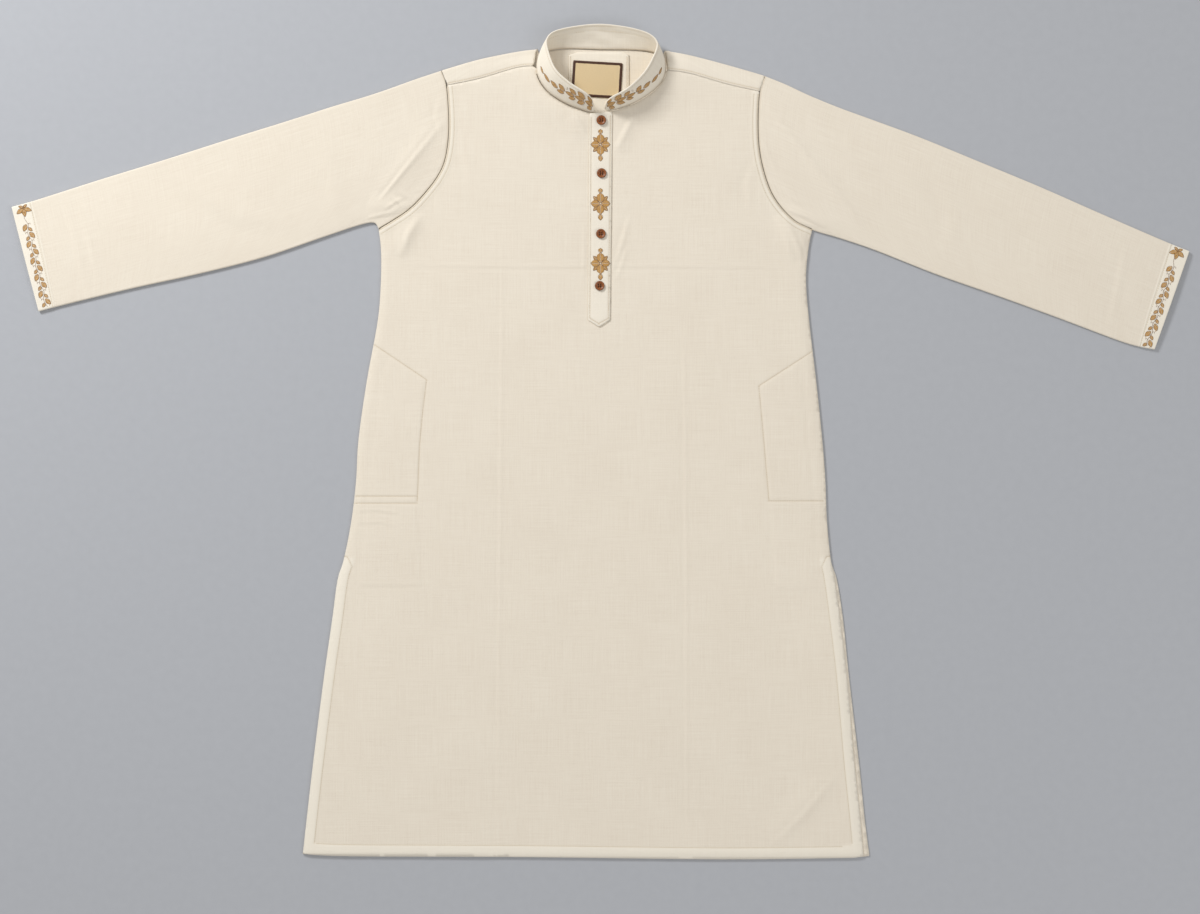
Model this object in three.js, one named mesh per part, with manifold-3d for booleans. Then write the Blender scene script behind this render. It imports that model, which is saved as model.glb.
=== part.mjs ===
// A long-sleeved cotton kurta with a band collar, laid flat on its back with both sleeves spread.
// Each cut piece is a thin closed wall. The back lies on the surface, the pocket bags lie on the
// back, the front lies on the bags, and the placket and its buttons lie on the front.
// Millimetres. Garment frame: x across from the centre front, y up from the hem, z up from the
// surface. The whole group is then centred on the middle of its own footprint.

import * as THREE from 'three';
import { mergeVertices } from 'three/addons/utils/BufferGeometryUtils.js';
import Module from 'manifold-3d';

const wasm = await Module();
wasm.setup();

// Cloth and its layers.
const CLOTH = 1.0;
const SEAM_GAP = 0.3;
const LAYER = CLOTH + SEAM_GAP;
const BACK_LEVEL = 0;
const BAG_LEVEL = BACK_LEVEL + LAYER;
const FRONT_LEVEL = BAG_LEVEL + LAYER;
const EDGE_ROLL = 9;
// How far a cutting shape reaches past what it trims, along the cloth and in plan.
const OVERCUT = 4;
const CUTTER_TOP = 45;
const CUTTER_REACH = 500;

// Shoulder line, armholes and neck.
const UNDERARM_Y = 812;
const BACK_YOKE_SEAM_Y = 945;
const FOLD_RADIUS = (FRONT_LEVEL + CLOTH) / 2;
const ARMHOLE_SHIFT = 1.6 * SEAM_GAP;
const NECK_CENTRE_Y = 1008;
const NECK_HALF_WIDTH = 83;
const NECK_HALF_DEPTH = 46;
const NECK_LIFT = 3.2;
const NECK_LIFT_REACH = 26;

// Collar band.
const BAND_THICKNESS = 2.0;
const BAND_STATIONS = 44;
const BAND_BULGE = 1.2;
const BAND_SHOULDER_LEAN = 1.9;
const SHOULDER_STATIONS = 14;

// Placket: a pointed strip over a slot in the front, with a plain strip under it.
const PLACKET_TOP = { y: 975, left: -14, right: 15.5 };
const PLACKET_FOOT = { y: 695, left: -16, right: 12.5 };
const PLACKET_POINT = { x: -2, y: 686 };
const SLOT_MARGIN = 5;
const SLOT_FOOT_Y = 712;

// Buttons.
const BUTTON_RADIUS = 6.2;
const BUTTON_THICKNESS = 2.4;
const BUTTON_SEGMENTS = 24;
const BUTTON_HOLE_RADIUS = 0.8;
const BUTTON_HOLE_OFFSET = 1.3;
const BUTTON_PLACES = [
  { x: 1, y: 952 },
  { x: 1.5, y: 884 },
  { x: 0.5, y: 806 },
  { x: -1, y: 739 },
];

// Label and the patch that backs it.
const LABEL = { x: -4.5, y: 1005, width: 64, height: 46, tilt: -0.058 };
const PATCH = { left: -41, right: 37, top: 1041, foot: 958 };

// Side edges of the body, from the hem to the underarm. Below the slits the back stands out
// past the front on the right.
const BODY_EDGES = [
  { y: 4, left: -384, frontRight: 339, backRight: 347 },
  { y: 50, left: -379, frontRight: 335, backRight: 341 },
  { y: 128, left: -370, frontRight: 327, backRight: 333 },
  { y: 231, left: -357, frontRight: 318, backRight: 321 },
  { y: 308, left: -346, frontRight: 309, backRight: 313 },
  { y: 360, left: -339, frontRight: 302, backRight: 305 },
  { y: 386, left: -331, frontRight: 297, backRight: 297 },
  { y: 437, left: -321, frontRight: 292, backRight: 292 },
  { y: 489, left: -315, frontRight: 290, backRight: 290 },
  { y: 541, left: -312, frontRight: 286, backRight: 286 },
  { y: 618, left: -301, frontRight: 278, backRight: 278 },
  { y: 695, left: -287, frontRight: 269, backRight: 269 },
  { y: 747, left: -283, frontRight: 265, backRight: 265 },
  { y: 786, left: -283, frontRight: 268, backRight: 268 },
  { y: UNDERARM_Y, left: -286, frontRight: 273, backRight: 273 },
];

// The hem dips a little towards both side slits.
const HEM = [
  { x: -384, y: 7 },
  { x: -323, y: 4 },
  { x: -117, y: 3 },
  { x: 90, y: 0.5 },
  { x: 193, y: 0 },
  { x: 339, y: 2 },
];

// Armhole seams, from the underarm to the shoulder tip.
const ARMHOLE_LEFT = [
  { x: -286, y: 812 },
  { x: -266, y: 824 },
  { x: -247, y: 837 },
  { x: -228, y: 856 },
  { x: -209, y: 881 },
  { x: -199, y: 906 },
  { x: -195, y: 945 },
  { x: -198, y: 996 },
  { x: -205, y: 1017 },
];
const ARMHOLE_RIGHT = [
  { x: 273, y: 812 },
  { x: 250, y: 823 },
  { x: 229, y: 845 },
  { x: 216, y: 869 },
  { x: 206, y: 906 },
  { x: 203, y: 943 },
  { x: 205, y: 988 },
  { x: 212, y: 1010 },
];

// Shoulder folds, from the armhole to the neck, and how far down the front the yoke's seam lies.
const SHOULDER_LEFT = [
  { x: -226, y: 1011, frontDrop: 21 },
  { x: -205, y: 1017, frontDrop: 21 },
  { x: -157, y: 1031, frontDrop: 25 },
  { x: -108, y: 1041, frontDrop: 21 },
  { x: -84, y: 1044, frontDrop: 22 },
  { x: -70, y: 1045, frontDrop: 22 },
];
const SHOULDER_RIGHT = [
  { x: 232, y: 1003, frontDrop: 22 },
  { x: 212, y: 1010, frontDrop: 22 },
  { x: 164, y: 1024, frontDrop: 25 },
  { x: 118, y: 1036, frontDrop: 24 },
  { x: 92, y: 1041, frontDrop: 25 },
  { x: 72, y: 1043, frontDrop: 26 },
];

// Sleeves: the shoulder fold and the underarm fold at stations from the cuff to inside the armhole.
const SLEEVE_LEFT = [
  { foldX: -759, foldY: 841, underX: -724, underY: 706 },
  { foldX: -727, foldY: 850, underX: -690, underY: 715 },
  { foldX: -646, foldY: 876, underX: -604, underY: 736 },
  { foldX: -562, foldY: 902, underX: -518, underY: 755 },
  { foldX: -481, foldY: 928, underX: -436, underY: 776 },
  { foldX: -401, foldY: 953, underX: -357, underY: 803 },
  { foldX: -345, foldY: 971, underX: -312, underY: 818 },
  { foldX: -305, foldY: 983, underX: -291, underY: 822 },
  { foldX: -275, foldY: 993, underX: -279, underY: 810 },
  { foldX: -239, foldY: 1006, underX: -250, underY: 795 },
  { foldX: -205, foldY: 1017, underX: -215, underY: 790 },
  { foldX: -178, foldY: 1026, underX: -180, underY: 790 },
];
const SLEEVE_RIGHT = [
  { foldX: 759, foldY: 784, underX: 714, underY: 657 },
  { foldX: 727, foldY: 797, underX: 676, underY: 666 },
  { foldX: 644, foldY: 833, underX: 591, underY: 698 },
  { foldX: 567, foldY: 867, underX: 512, underY: 727 },
  { foldX: 490, foldY: 899, underX: 433, underY: 755 },
  { foldX: 412, foldY: 931, underX: 355, underY: 786 },
  { foldX: 350, foldY: 954, underX: 308, underY: 802 },
  { foldX: 309, foldY: 969, underX: 283, underY: 809 },
  { foldX: 270, foldY: 985, underX: 268, underY: 800 },
  { foldX: 240, foldY: 999, underX: 240, underY: 790 },
  { foldX: 212, foldY: 1010, underX: 205, underY: 785 },
  { foldX: 184, foldY: 1020, underX: 175, underY: 785 },
];
const SLEEVE_STATIONS = 18;
const SLEEVE_CROWN = 1.2;
const SLEEVE_COLUMNS = [0.12, 0.3, 0.5, 0.7, 0.88];

// Collar band: its seam edge and its top edge at stations from the left front end, round the back,
// to the right front end. The band leans inwards in front and lies back behind.
const BAND = [
  { seamX: -9, seamY: 963, seamZ: 5.6, topX: -8, topY: 968, topZ: 10 },
  { seamX: -12, seamY: 963, seamZ: 5.8, topX: -10.5, topY: 976, topZ: 24 },
  { seamX: -22, seamY: 965.5, seamZ: 6, topX: -18.5, topY: 983.5, topZ: 33 },
  { seamX: -45, seamY: 974.5, seamZ: 6, topX: -39, topY: 996.5, topZ: 35 },
  { seamX: -68, seamY: 990, seamZ: 5.8, topX: -56.5, topY: 1013, topZ: 33.5 },
  { seamX: -81, seamY: 1012, seamZ: 4.8, topX: -65.5, topY: 1034, topZ: 29 },
  { seamX: -78, seamY: 1035, seamZ: 3.2, topX: -68, topY: 1054.5, topZ: 24 },
  { seamX: -55, seamY: 1044.5, seamZ: 1.8, topX: -51.5, topY: 1067, topZ: 20 },
  { seamX: 0, seamY: 1044, seamZ: 1.5, topX: 0, topY: 1074, topZ: 18 },
  { seamX: 57, seamY: 1042.5, seamZ: 1.8, topX: 52, topY: 1065.5, topZ: 20 },
  { seamX: 80, seamY: 1034, seamZ: 3.2, topX: 72, topY: 1050, topZ: 24 },
  { seamX: 83, seamY: 1012, seamZ: 4.8, topX: 65.5, topY: 1027, topZ: 29.5 },
  { seamX: 71, seamY: 993.5, seamZ: 5.8, topX: 53.5, topY: 1007.5, topZ: 33.5 },
  { seamX: 47, seamY: 977, seamZ: 6, topX: 34, topY: 989, topZ: 35 },
  { seamX: 23, seamY: 967.5, seamZ: 6, topX: 14.5, topY: 978.5, topZ: 32 },
  { seamX: 12, seamY: 965, seamZ: 5.8, topX: 7.5, topY: 973, topZ: 23 },
  { seamX: 8, seamY: 964.5, seamZ: 5.6, topX: 5, topY: 967.5, topZ: 10 },
];

// Pocket bags hang from the side seams between the back and the front.
const BAG_LEFT = [
  { x: -272, y: 648 },
  { x: -224, y: 618 },
  { x: -229, y: 577 },
  { x: -235, y: 460 },
  { x: -228, y: 350 },
  { x: -314, y: 350 },
  { x: -297, y: 489 },
  { x: -283, y: 618 },
];
const BAG_RIGHT = [
  { x: 255, y: 641 },
  { x: 204, y: 610 },
  { x: 211, y: 534 },
  { x: 217, y: 463 },
  { x: 224, y: 347 },
  { x: 281, y: 347 },
  { x: 272, y: 489 },
  { x: 260, y: 618 },
];

// Raised folds: a soft ridge along a straight run, highest half way and gone at both ends.
const BODY_FOLDS = [
  { fromX: -235, fromY: 836, toX: -262, toY: 776, halfWidth: 12, height: 2.6 },
  { fromX: 230, fromY: 832, toX: 258, toY: 772, halfWidth: 13, height: 3.0 },
  { fromX: 42, fromY: 958, toX: 20, toY: 905, halfWidth: 10, height: 1.4 },
  { fromX: -40, fromY: 958, toX: -24, toY: 925, halfWidth: 10, height: 1.2 },
  { fromX: 306, fromY: 118, toX: 215, toY: 18, halfWidth: 16, height: 1.6 },
];
const SLEEVE_FOLDS = [
  { fromX: -198, fromY: 962, toX: -290, toY: 845, halfWidth: 11, height: 2.2 },
  { fromX: -300, fromY: 846, toX: -236, toY: 832, halfWidth: 11, height: 3.4 },
  { fromX: 203, fromY: 986, toX: 340, toY: 816, halfWidth: 11, height: 1.8 },
  { fromX: 228, fromY: 842, toX: 312, toY: 808, halfWidth: 11, height: 2.8 },
];

// Where the front panel's grid has its rows and columns: close together near the edges.
const FRONT_COLUMNS = [
  0, 0.008, 0.022, 0.045, 0.08, 0.12, 0.2, 0.3, 0.4, 0.48, 0.54, 0.62, 0.72, 0.8, 0.88, 0.92, 0.955,
  0.978, 0.992, 1,
];
const FRONT_ROWS = [
  -4, 4, 14, 50, 110, 170, 231, 308, 360, 437, 489, 541, 618, 695, 740, 770, 790, 812, 835, 865, 906,
  935, 955, 972, 990, 1010, 1034,
];

const COTTON = { color: 0xe8dfcd, roughness: 0.9, metalness: 0 };
const COTTON_BAND = { color: 0xeee2cf, roughness: 0.85, metalness: 0 };
const LABEL_CLOTH = { color: 0xd9c39a, roughness: 0.75, metalness: 0 };
const WOOD = { color: 0x8a5430, roughness: 0.45, metalness: 0 };

function smoothstep(value, low, high) {
  const t = THREE.MathUtils.clamp((value - low) / (high - low), 0, 1);
  return t * t * (3 - 2 * t);
}

// Straight-line value of one named column of a table, at a height y.
function edgeAt(table, column, y) {
  const last = table.length - 1;
  if (y <= table[0].y) return table[0][column];
  if (y >= table[last].y) return table[last][column];
  const above = table.findIndex((row) => row.y > y);
  const low = table[above - 1];
  const high = table[above];
  const t = (y - low.y) / (high.y - low.y);
  return THREE.MathUtils.lerp(low[column], high[column], t);
}

// A smooth run through the points of a table, as plane points.
function smoothRun(table, divisions, xKey = 'x', yKey = 'y') {
  const points = table.map((row) => new THREE.Vector2(row[xKey], row[yKey]));
  return new THREE.SplineCurve(points).getPoints(divisions);
}

// The table resampled smoothly in every one of its named columns.
function resample(table, count) {
  const keys = Object.keys(table[0]);
  const rows = [];
  for (let i = 0; i < count; i += 1) {
    const place = (i / (count - 1)) * (table.length - 1);
    const k = Math.min(Math.floor(place), table.length - 2);
    const t = place - k;
    const row = {};
    for (const key of keys) {
      const before = table[Math.max(k - 1, 0)][key];
      const after = table[Math.min(k + 2, table.length - 1)][key];
      const from = table[k][key];
      const to = table[k + 1][key];
      const slopeFrom = (to - before) / 2;
      const slopeTo = (after - from) / 2;
      const t2 = t * t;
      const t3 = t2 * t;
      row[key] = (2 * t3 - 3 * t2 + 1) * from + (t3 - 2 * t2 + t) * slopeFrom
        + (3 * t2 - 2 * t3) * to + (t3 - t2) * slopeTo;
    }
    rows.push(row);
  }
  return rows;
}

// Height that the raised folds of one table add at a point.
function foldHeight(folds, x, y) {
  let height = 0;
  for (const fold of folds) {
    const alongX = fold.toX - fold.fromX;
    const alongY = fold.toY - fold.fromY;
    const length = Math.hypot(alongX, alongY);
    const along = ((x - fold.fromX) * alongX + (y - fold.fromY) * alongY) / (length * length);
    const across = ((x - fold.fromX) * alongY - (y - fold.fromY) * alongX) / length;
    if (along > 0 && along < 1) {
      const ridge = Math.exp(-((across / fold.halfWidth) ** 2));
      height += fold.height * ridge * Math.sin(Math.PI * along);
    }
  }
  return height;
}

// The front layer rises to meet the standing collar.
function neckLift(x, y) {
  const outX = x / NECK_HALF_WIDTH;
  const outY = (y - NECK_CENTRE_Y) / NECK_HALF_DEPTH;
  const meanRadius = (NECK_HALF_WIDTH + NECK_HALF_DEPTH) / 2;
  const distance = Math.max(0, Math.hypot(outX, outY) - 1) * meanRadius;
  const towardsBack = 1 - smoothstep(y, NECK_CENTRE_Y + 8, NECK_CENTRE_Y + 34);
  return NECK_LIFT * Math.exp(-((distance / NECK_LIFT_REACH) ** 2)) * towardsBack;
}

// Underside of the front layer: down on the back at the sides and hem, clear of the bags between.
function frontUnderside(x, y) {
  const fromLeft = x - edgeAt(BODY_EDGES, 'left', y);
  const fromRight = edgeAt(BODY_EDGES, 'frontRight', y) - x;
  const sideRoll = 1 - smoothstep(Math.min(fromLeft, fromRight), 0, EDGE_ROLL);
  const belowArm = 1 - smoothstep(y, UNDERARM_Y, UNDERARM_Y + 2 * EDGE_ROLL);
  const hemRoll = 1 - smoothstep(y, 0, EDGE_ROLL);
  const roll = Math.max(sideRoll * belowArm, hemRoll);
  const lift = neckLift(x, y) + foldHeight(BODY_FOLDS, x, y) * (1 - roll);
  return FRONT_LEVEL - LAYER * roll + lift;
}

function signedVolume(positions, index) {
  const a = new THREE.Vector3();
  const b = new THREE.Vector3();
  const c = new THREE.Vector3();
  let volume = 0;
  for (let i = 0; i < index.length; i += 3) {
    a.fromArray(positions, index[i] * 3);
    b.fromArray(positions, index[i + 1] * 3);
    c.fromArray(positions, index[i + 2] * 3);
    volume += a.dot(b.cross(c)) / 6;
  }
  return volume;
}

// A closed wall between two faces, each a grid of points. With closedAround the rows are rings.
function wall(outside, inside, closedAround = false) {
  const rows = outside.length;
  const columns = outside[0].length;
  const positions = [...outside.flat(), ...inside.flat()].flatMap((point) => point.toArray());
  const at = (face, row, column) => (face * rows + row) * columns + (column % columns);
  const index = [];
  const quad = (a, b, c, d) => index.push(a, b, c, a, c, d);
  const spans = closedAround ? columns : columns - 1;
  const lastRow = rows - 1;
  for (let c = 0; c < spans; c += 1) {
    for (let r = 0; r < lastRow; r += 1) {
      quad(at(0, r, c), at(0, r, c + 1), at(0, r + 1, c + 1), at(0, r + 1, c));
      quad(at(1, r, c), at(1, r + 1, c), at(1, r + 1, c + 1), at(1, r, c + 1));
    }
    quad(at(0, 0, c), at(1, 0, c), at(1, 0, c + 1), at(0, 0, c + 1));
    quad(at(0, lastRow, c), at(0, lastRow, c + 1), at(1, lastRow, c + 1), at(1, lastRow, c));
  }
  if (!closedAround) {
    for (let r = 0; r < lastRow; r += 1) {
      quad(at(0, r, 0), at(0, r + 1, 0), at(1, r + 1, 0), at(1, r, 0));
      quad(at(0, r, spans), at(1, r, spans), at(1, r + 1, spans), at(0, r + 1, spans));
    }
  }
  if (signedVolume(positions, index) < 0) index.reverse();
  const geometry = new THREE.BufferGeometry();
  geometry.setAttribute('position', new THREE.Float32BufferAttribute(positions, 3));
  geometry.setIndex(index);
  return geometry;
}

// An upright prism on an outline.
function prism(outline, low, high) {
  const shape = new THREE.Shape(outline);
  const geometry = new THREE.ExtrudeGeometry(shape, { depth: high - low, bevelEnabled: false });
  return geometry.translate(0, 0, low);
}

function solidOf(geometry) {
  const bare = geometry.index ? geometry.clone() : geometry;
  bare.deleteAttribute('normal');
  bare.deleteAttribute('uv');
  const merged = mergeVertices(bare, 1e-4);
  const vertProperties = Float32Array.from(merged.attributes.position.array);
  const triVerts = Uint32Array.from(merged.index.array);
  return new wasm.Manifold(new wasm.Mesh({ numProp: 3, vertProperties, triVerts }));
}

function geometryOf(solid) {
  const mesh = solid.getMesh();
  const geometry = new THREE.BufferGeometry();
  geometry.setAttribute('position', new THREE.BufferAttribute(mesh.vertProperties, 3));
  geometry.setIndex(new THREE.BufferAttribute(mesh.triVerts, 1));
  return geometry;
}

function movedRun(run, dx, dy) {
  return run.map((point) => new THREE.Vector2(point.x + dx, point.y + dy));
}

// Seam lines, each a smooth run.
const armholeLeft = smoothRun(ARMHOLE_LEFT, 24);
const armholeRight = smoothRun(ARMHOLE_RIGHT, 24);
const shoulderLeft = smoothRun(SHOULDER_LEFT.slice(1), 12);
const shoulderRight = smoothRun(SHOULDER_RIGHT.slice(1), 12);
const leftSide = smoothRun(BODY_EDGES, 36, 'left', 'y');
const frontRightSide = smoothRun(BODY_EDGES, 36, 'frontRight', 'y');
const backRightSide = smoothRun(BODY_EDGES, 36, 'backRight', 'y');
const hem = smoothRun(HEM, 12);
const bandRows = resample(BAND, BAND_STATIONS);
const legRowsLeft = resample(SHOULDER_LEFT, SHOULDER_STATIONS);
const legRowsRight = resample(SHOULDER_RIGHT, SHOULDER_STATIONS);
const yokeSeamLeft = legRowsLeft.map((row) => new THREE.Vector2(row.x, row.y - row.frontDrop));
const yokeSeamRight = legRowsRight.map((row) => new THREE.Vector2(row.x, row.y - row.frontDrop));

// Everything of the body in plan, with its armholes and room above the shoulders.
function bodyOutline(rightSide) {
  const above = [
    new THREE.Vector2(armholeRight.at(-1).x + OVERCUT, NECK_CENTRE_Y + 2 * NECK_HALF_DEPTH),
    new THREE.Vector2(armholeLeft.at(-1).x - OVERCUT, NECK_CENTRE_Y + 2 * NECK_HALF_DEPTH),
  ];
  const leftDown = [...leftSide].reverse();
  const armholeDown = [...armholeLeft].reverse();
  return [...hem, ...rightSide.slice(1), ...armholeRight.slice(1), ...above, ...armholeDown,
    ...leftDown.slice(1, -1)];
}

// What the neckline cuts out of the front layer: the band's seam edge, set out by half the band,
// and by more at the shoulders, where the band leans out over the yoke.
function neckCutter() {
  const ring = bandRows.map((row) => {
    const outX = row.seamX / NECK_HALF_WIDTH;
    const outY = (row.seamY - NECK_CENTRE_Y) / NECK_HALF_DEPTH;
    const outward = new THREE.Vector2(outX, outY).normalize();
    const lean = BAND_SHOULDER_LEAN * smoothstep(row.seamY, NECK_CENTRE_Y + 12, NECK_CENTRE_Y + 30);
    const clearance = BAND_THICKNESS / 2 + 2 * SEAM_GAP + lean;
    return new THREE.Vector2(row.seamX, row.seamY).addScaledVector(outward, clearance);
  });
  return solidOf(prism(ring, BACK_LEVEL + CLOTH, CUTTER_TOP));
}

function buildBack() {
  const outline = bodyOutline(backRightSide);
  const panel = solidOf(prism(outline, BACK_LEVEL, BACK_LEVEL + CLOTH));
  const above = [
    new THREE.Vector2(-CUTTER_REACH, BACK_YOKE_SEAM_Y - SEAM_GAP),
    new THREE.Vector2(CUTTER_REACH, BACK_YOKE_SEAM_Y - SEAM_GAP),
    new THREE.Vector2(CUTTER_REACH, BACK_YOKE_SEAM_Y + CUTTER_REACH),
    new THREE.Vector2(-CUTTER_REACH, BACK_YOKE_SEAM_Y + CUTTER_REACH),
  ];
  return panel.subtract(tallPrism(above));
}

// The front layer's grid of points, moved up by a height.
function frontGrid(height) {
  return FRONT_ROWS.map((y) => {
    const left = edgeAt(BODY_EDGES, 'left', y) - OVERCUT;
    const right = edgeAt(BODY_EDGES, 'frontRight', y) + OVERCUT;
    return FRONT_COLUMNS.map((fraction) => {
      const x = THREE.MathUtils.lerp(left, right, fraction);
      return new THREE.Vector3(x, y, frontUnderside(x, y) + height);
    });
  });
}

function frontLayer(level) {
  return solidOf(wall(frontGrid(level + CLOTH), frontGrid(level)));
}

function placketOutline(margin, topY, footY, pointY) {
  const points = [
    [PLACKET_TOP.left + margin, topY],
    [PLACKET_FOOT.left + margin, footY],
    [PLACKET_POINT.x, pointY],
    [PLACKET_FOOT.right - margin, footY],
    [PLACKET_TOP.right - margin, topY],
  ];
  return points.map(([x, y]) => new THREE.Vector2(x, y));
}

function tallPrism(outline) {
  return solidOf(prism(outline, BACK_LEVEL - OVERCUT, CUTTER_TOP));
}

function buildFront() {
  const seamLeft = movedRun(yokeSeamLeft, 0, -SEAM_GAP);
  const seamRight = movedRun(yokeSeamRight, 0, -SEAM_GAP);
  const below = [
    new THREE.Vector2(-CUTTER_REACH, -CUTTER_REACH),
    new THREE.Vector2(CUTTER_REACH, -CUTTER_REACH),
    new THREE.Vector2(CUTTER_REACH, seamRight[0].y),
    ...seamRight,
    ...[...seamLeft].reverse(),
    new THREE.Vector2(-CUTTER_REACH, seamLeft[0].y),
  ];
  const slot = placketOutline(SLOT_MARGIN, PLACKET_TOP.y, SLOT_FOOT_Y, SLOT_FOOT_Y);
  return frontLayer(0)
    .intersect(tallPrism(bodyOutline(frontRightSide)))
    .intersect(tallPrism(below))
    .subtract(tallPrism(slot))
    .subtract(neckCutter());
}

function buildPlacket() {
  const outline = placketOutline(0, PLACKET_TOP.y, PLACKET_FOOT.y, PLACKET_POINT.y);
  return frontLayer(LAYER).intersect(tallPrism(outline)).subtract(neckCutter());
}

function buildUnderPlacket() {
  const margin = SLOT_MARGIN + SEAM_GAP;
  const footY = SLOT_FOOT_Y + SEAM_GAP;
  const outline = placketOutline(margin, PLACKET_TOP.y, footY, footY);
  return frontLayer(0).intersect(tallPrism(outline)).subtract(neckCutter());
}

// The yoke's front leg on one shoulder: a wall that comes up round the shoulder fold and down the front.
function yokeLeg(shoulder) {
  const turns = [-Math.PI / 2, -Math.PI / 4, 0, Math.PI / 4, Math.PI / 2];
  const legEnd = 4 * FOLD_RADIUS;
  const face = (row, radius) => {
    const profile = [{ inward: legEnd, z: FOLD_RADIUS - radius }];
    for (const turn of turns) {
      profile.push({
        inward: FOLD_RADIUS - radius * Math.cos(turn),
        z: FOLD_RADIUS + radius * Math.sin(turn),
      });
    }
    for (const inward of [legEnd, (legEnd + row.frontDrop) / 2, row.frontDrop]) {
      profile.push({ inward, z: FOLD_RADIUS + radius });
    }
    return profile.map(({ inward, z }, i) => {
      const y = row.y - inward;
      const onTop = i > turns.length / 2 ? Math.min(1, inward / legEnd) : 0;
      return new THREE.Vector3(row.x, y, z + onTop * neckLift(row.x, y));
    });
  };
  const outside = shoulder.map((row) => face(row, FOLD_RADIUS));
  const inside = shoulder.map((row) => face(row, FOLD_RADIUS - CLOTH));
  return solidOf(wall(outside, inside));
}

function buildYoke() {
  const underLeg = 2 * FOLD_RADIUS;
  const backNeck = bandRows
    .filter((row) => row.seamY > NECK_CENTRE_Y + 30)
    .map((row) => new THREE.Vector2(row.seamX, row.seamY - 2 * SEAM_GAP));
  const onYoke = (point) => point.y > BACK_YOKE_SEAM_Y + 1;
  const outline = [
    new THREE.Vector2(edgeAt(ARMHOLE_RIGHT, 'x', BACK_YOKE_SEAM_Y), BACK_YOKE_SEAM_Y),
    ...armholeRight.filter(onYoke).slice(0, -1),
    ...movedRun(shoulderRight, 0, -underLeg).slice(0, -1),
    ...backNeck.reverse(),
    ...movedRun(shoulderLeft, 0, -underLeg).reverse().slice(1),
    ...armholeLeft.filter(onYoke).slice(0, -1).reverse(),
    new THREE.Vector2(edgeAt(ARMHOLE_LEFT, 'x', BACK_YOKE_SEAM_Y), BACK_YOKE_SEAM_Y),
  ];
  const backLeg = solidOf(prism(outline, BACK_LEVEL, BACK_LEVEL + CLOTH));
  const legs = yokeLeg(legRowsLeft).add(yokeLeg(legRowsRight));
  const whole = backLeg.add(legs.subtract(neckCutter()));
  return whole.intersect(tallPrism(bodyOutline(backRightSide)));
}

// A sleeve: a flattened tube, open at the cuff and the armhole, with a rounded fold down each side.
function sleeveTube(table) {
  const bends = [-Math.PI / 4, 0, Math.PI / 4];
  const ring = (row, radius) => {
    const fold = new THREE.Vector2(row.foldX, row.foldY);
    const under = new THREE.Vector2(row.underX, row.underY);
    const across = under.clone().sub(fold);
    const width = across.length();
    const along = across.normalize();
    const inset = FOLD_RADIUS / width;
    const columns = [inset, ...SLEEVE_COLUMNS, 1 - inset];
    const place = (distance, z) => {
      const spot = fold.clone().addScaledVector(along, distance);
      return new THREE.Vector3(spot.x, spot.y, z);
    };
    const bottom = columns.map((column) => place(column * width, FOLD_RADIUS - radius));
    const top = columns.map((column) => {
      const point = place(column * width, FOLD_RADIUS + radius);
      const betweenFolds = column > inset && column < 1 - inset;
      if (betweenFolds) {
        point.z += SLEEVE_CROWN * Math.sin(Math.PI * column);
        point.z += foldHeight(SLEEVE_FOLDS, point.x, point.y);
      }
      return point;
    });
    const turn = (centre, side) => bends.map((bend) => place(
      centre + side * radius * Math.cos(bend),
      FOLD_RADIUS + side * radius * Math.sin(bend),
    ));
    return [...bottom, ...turn(width - FOLD_RADIUS, 1), ...top.reverse(), ...turn(FOLD_RADIUS, -1)];
  };
  const rows = resample(table, SLEEVE_STATIONS);
  const outside = rows.map((row) => ring(row, FOLD_RADIUS));
  const inside = rows.map((row) => ring(row, FOLD_RADIUS - CLOTH));
  return solidOf(wall(outside, inside, true));
}

function buildSleeve(table, side) {
  const body = movedRun(bodyOutline(backRightSide), side * ARMHOLE_SHIFT, SEAM_GAP);
  return sleeveTube(table).subtract(tallPrism(body));
}

// The collar: a stiff band between its seam edge and its top edge, open at the centre front.
function buildCollar() {
  const levels = [0, 0.25, 0.5, 0.75, 1];
  const seam = bandRows.map((row) => new THREE.Vector3(row.seamX, row.seamY, row.seamZ));
  const top = bandRows.map((row) => new THREE.Vector3(row.topX, row.topY, row.topZ));
  const middle = seam.map((point, i) => point.clone().lerp(top[i], 0.5));
  const face = (side) => seam.map((point, i) => {
    const before = middle[Math.max(i - 1, 0)];
    const after = middle[Math.min(i + 1, middle.length - 1)];
    const along = after.clone().sub(before);
    const up = top[i].clone().sub(point);
    const outward = along.cross(up).normalize();
    const size = up.length();
    return levels.map((level) => {
      const bulge = BAND_BULGE * 4 * level * (1 - level) * Math.min(1, size / 30);
      const offset = bulge + side * BAND_THICKNESS / 2;
      return point.clone().addScaledVector(up, level).addScaledVector(outward, -offset);
    });
  });
  return wall(face(1), face(-1));
}

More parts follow.
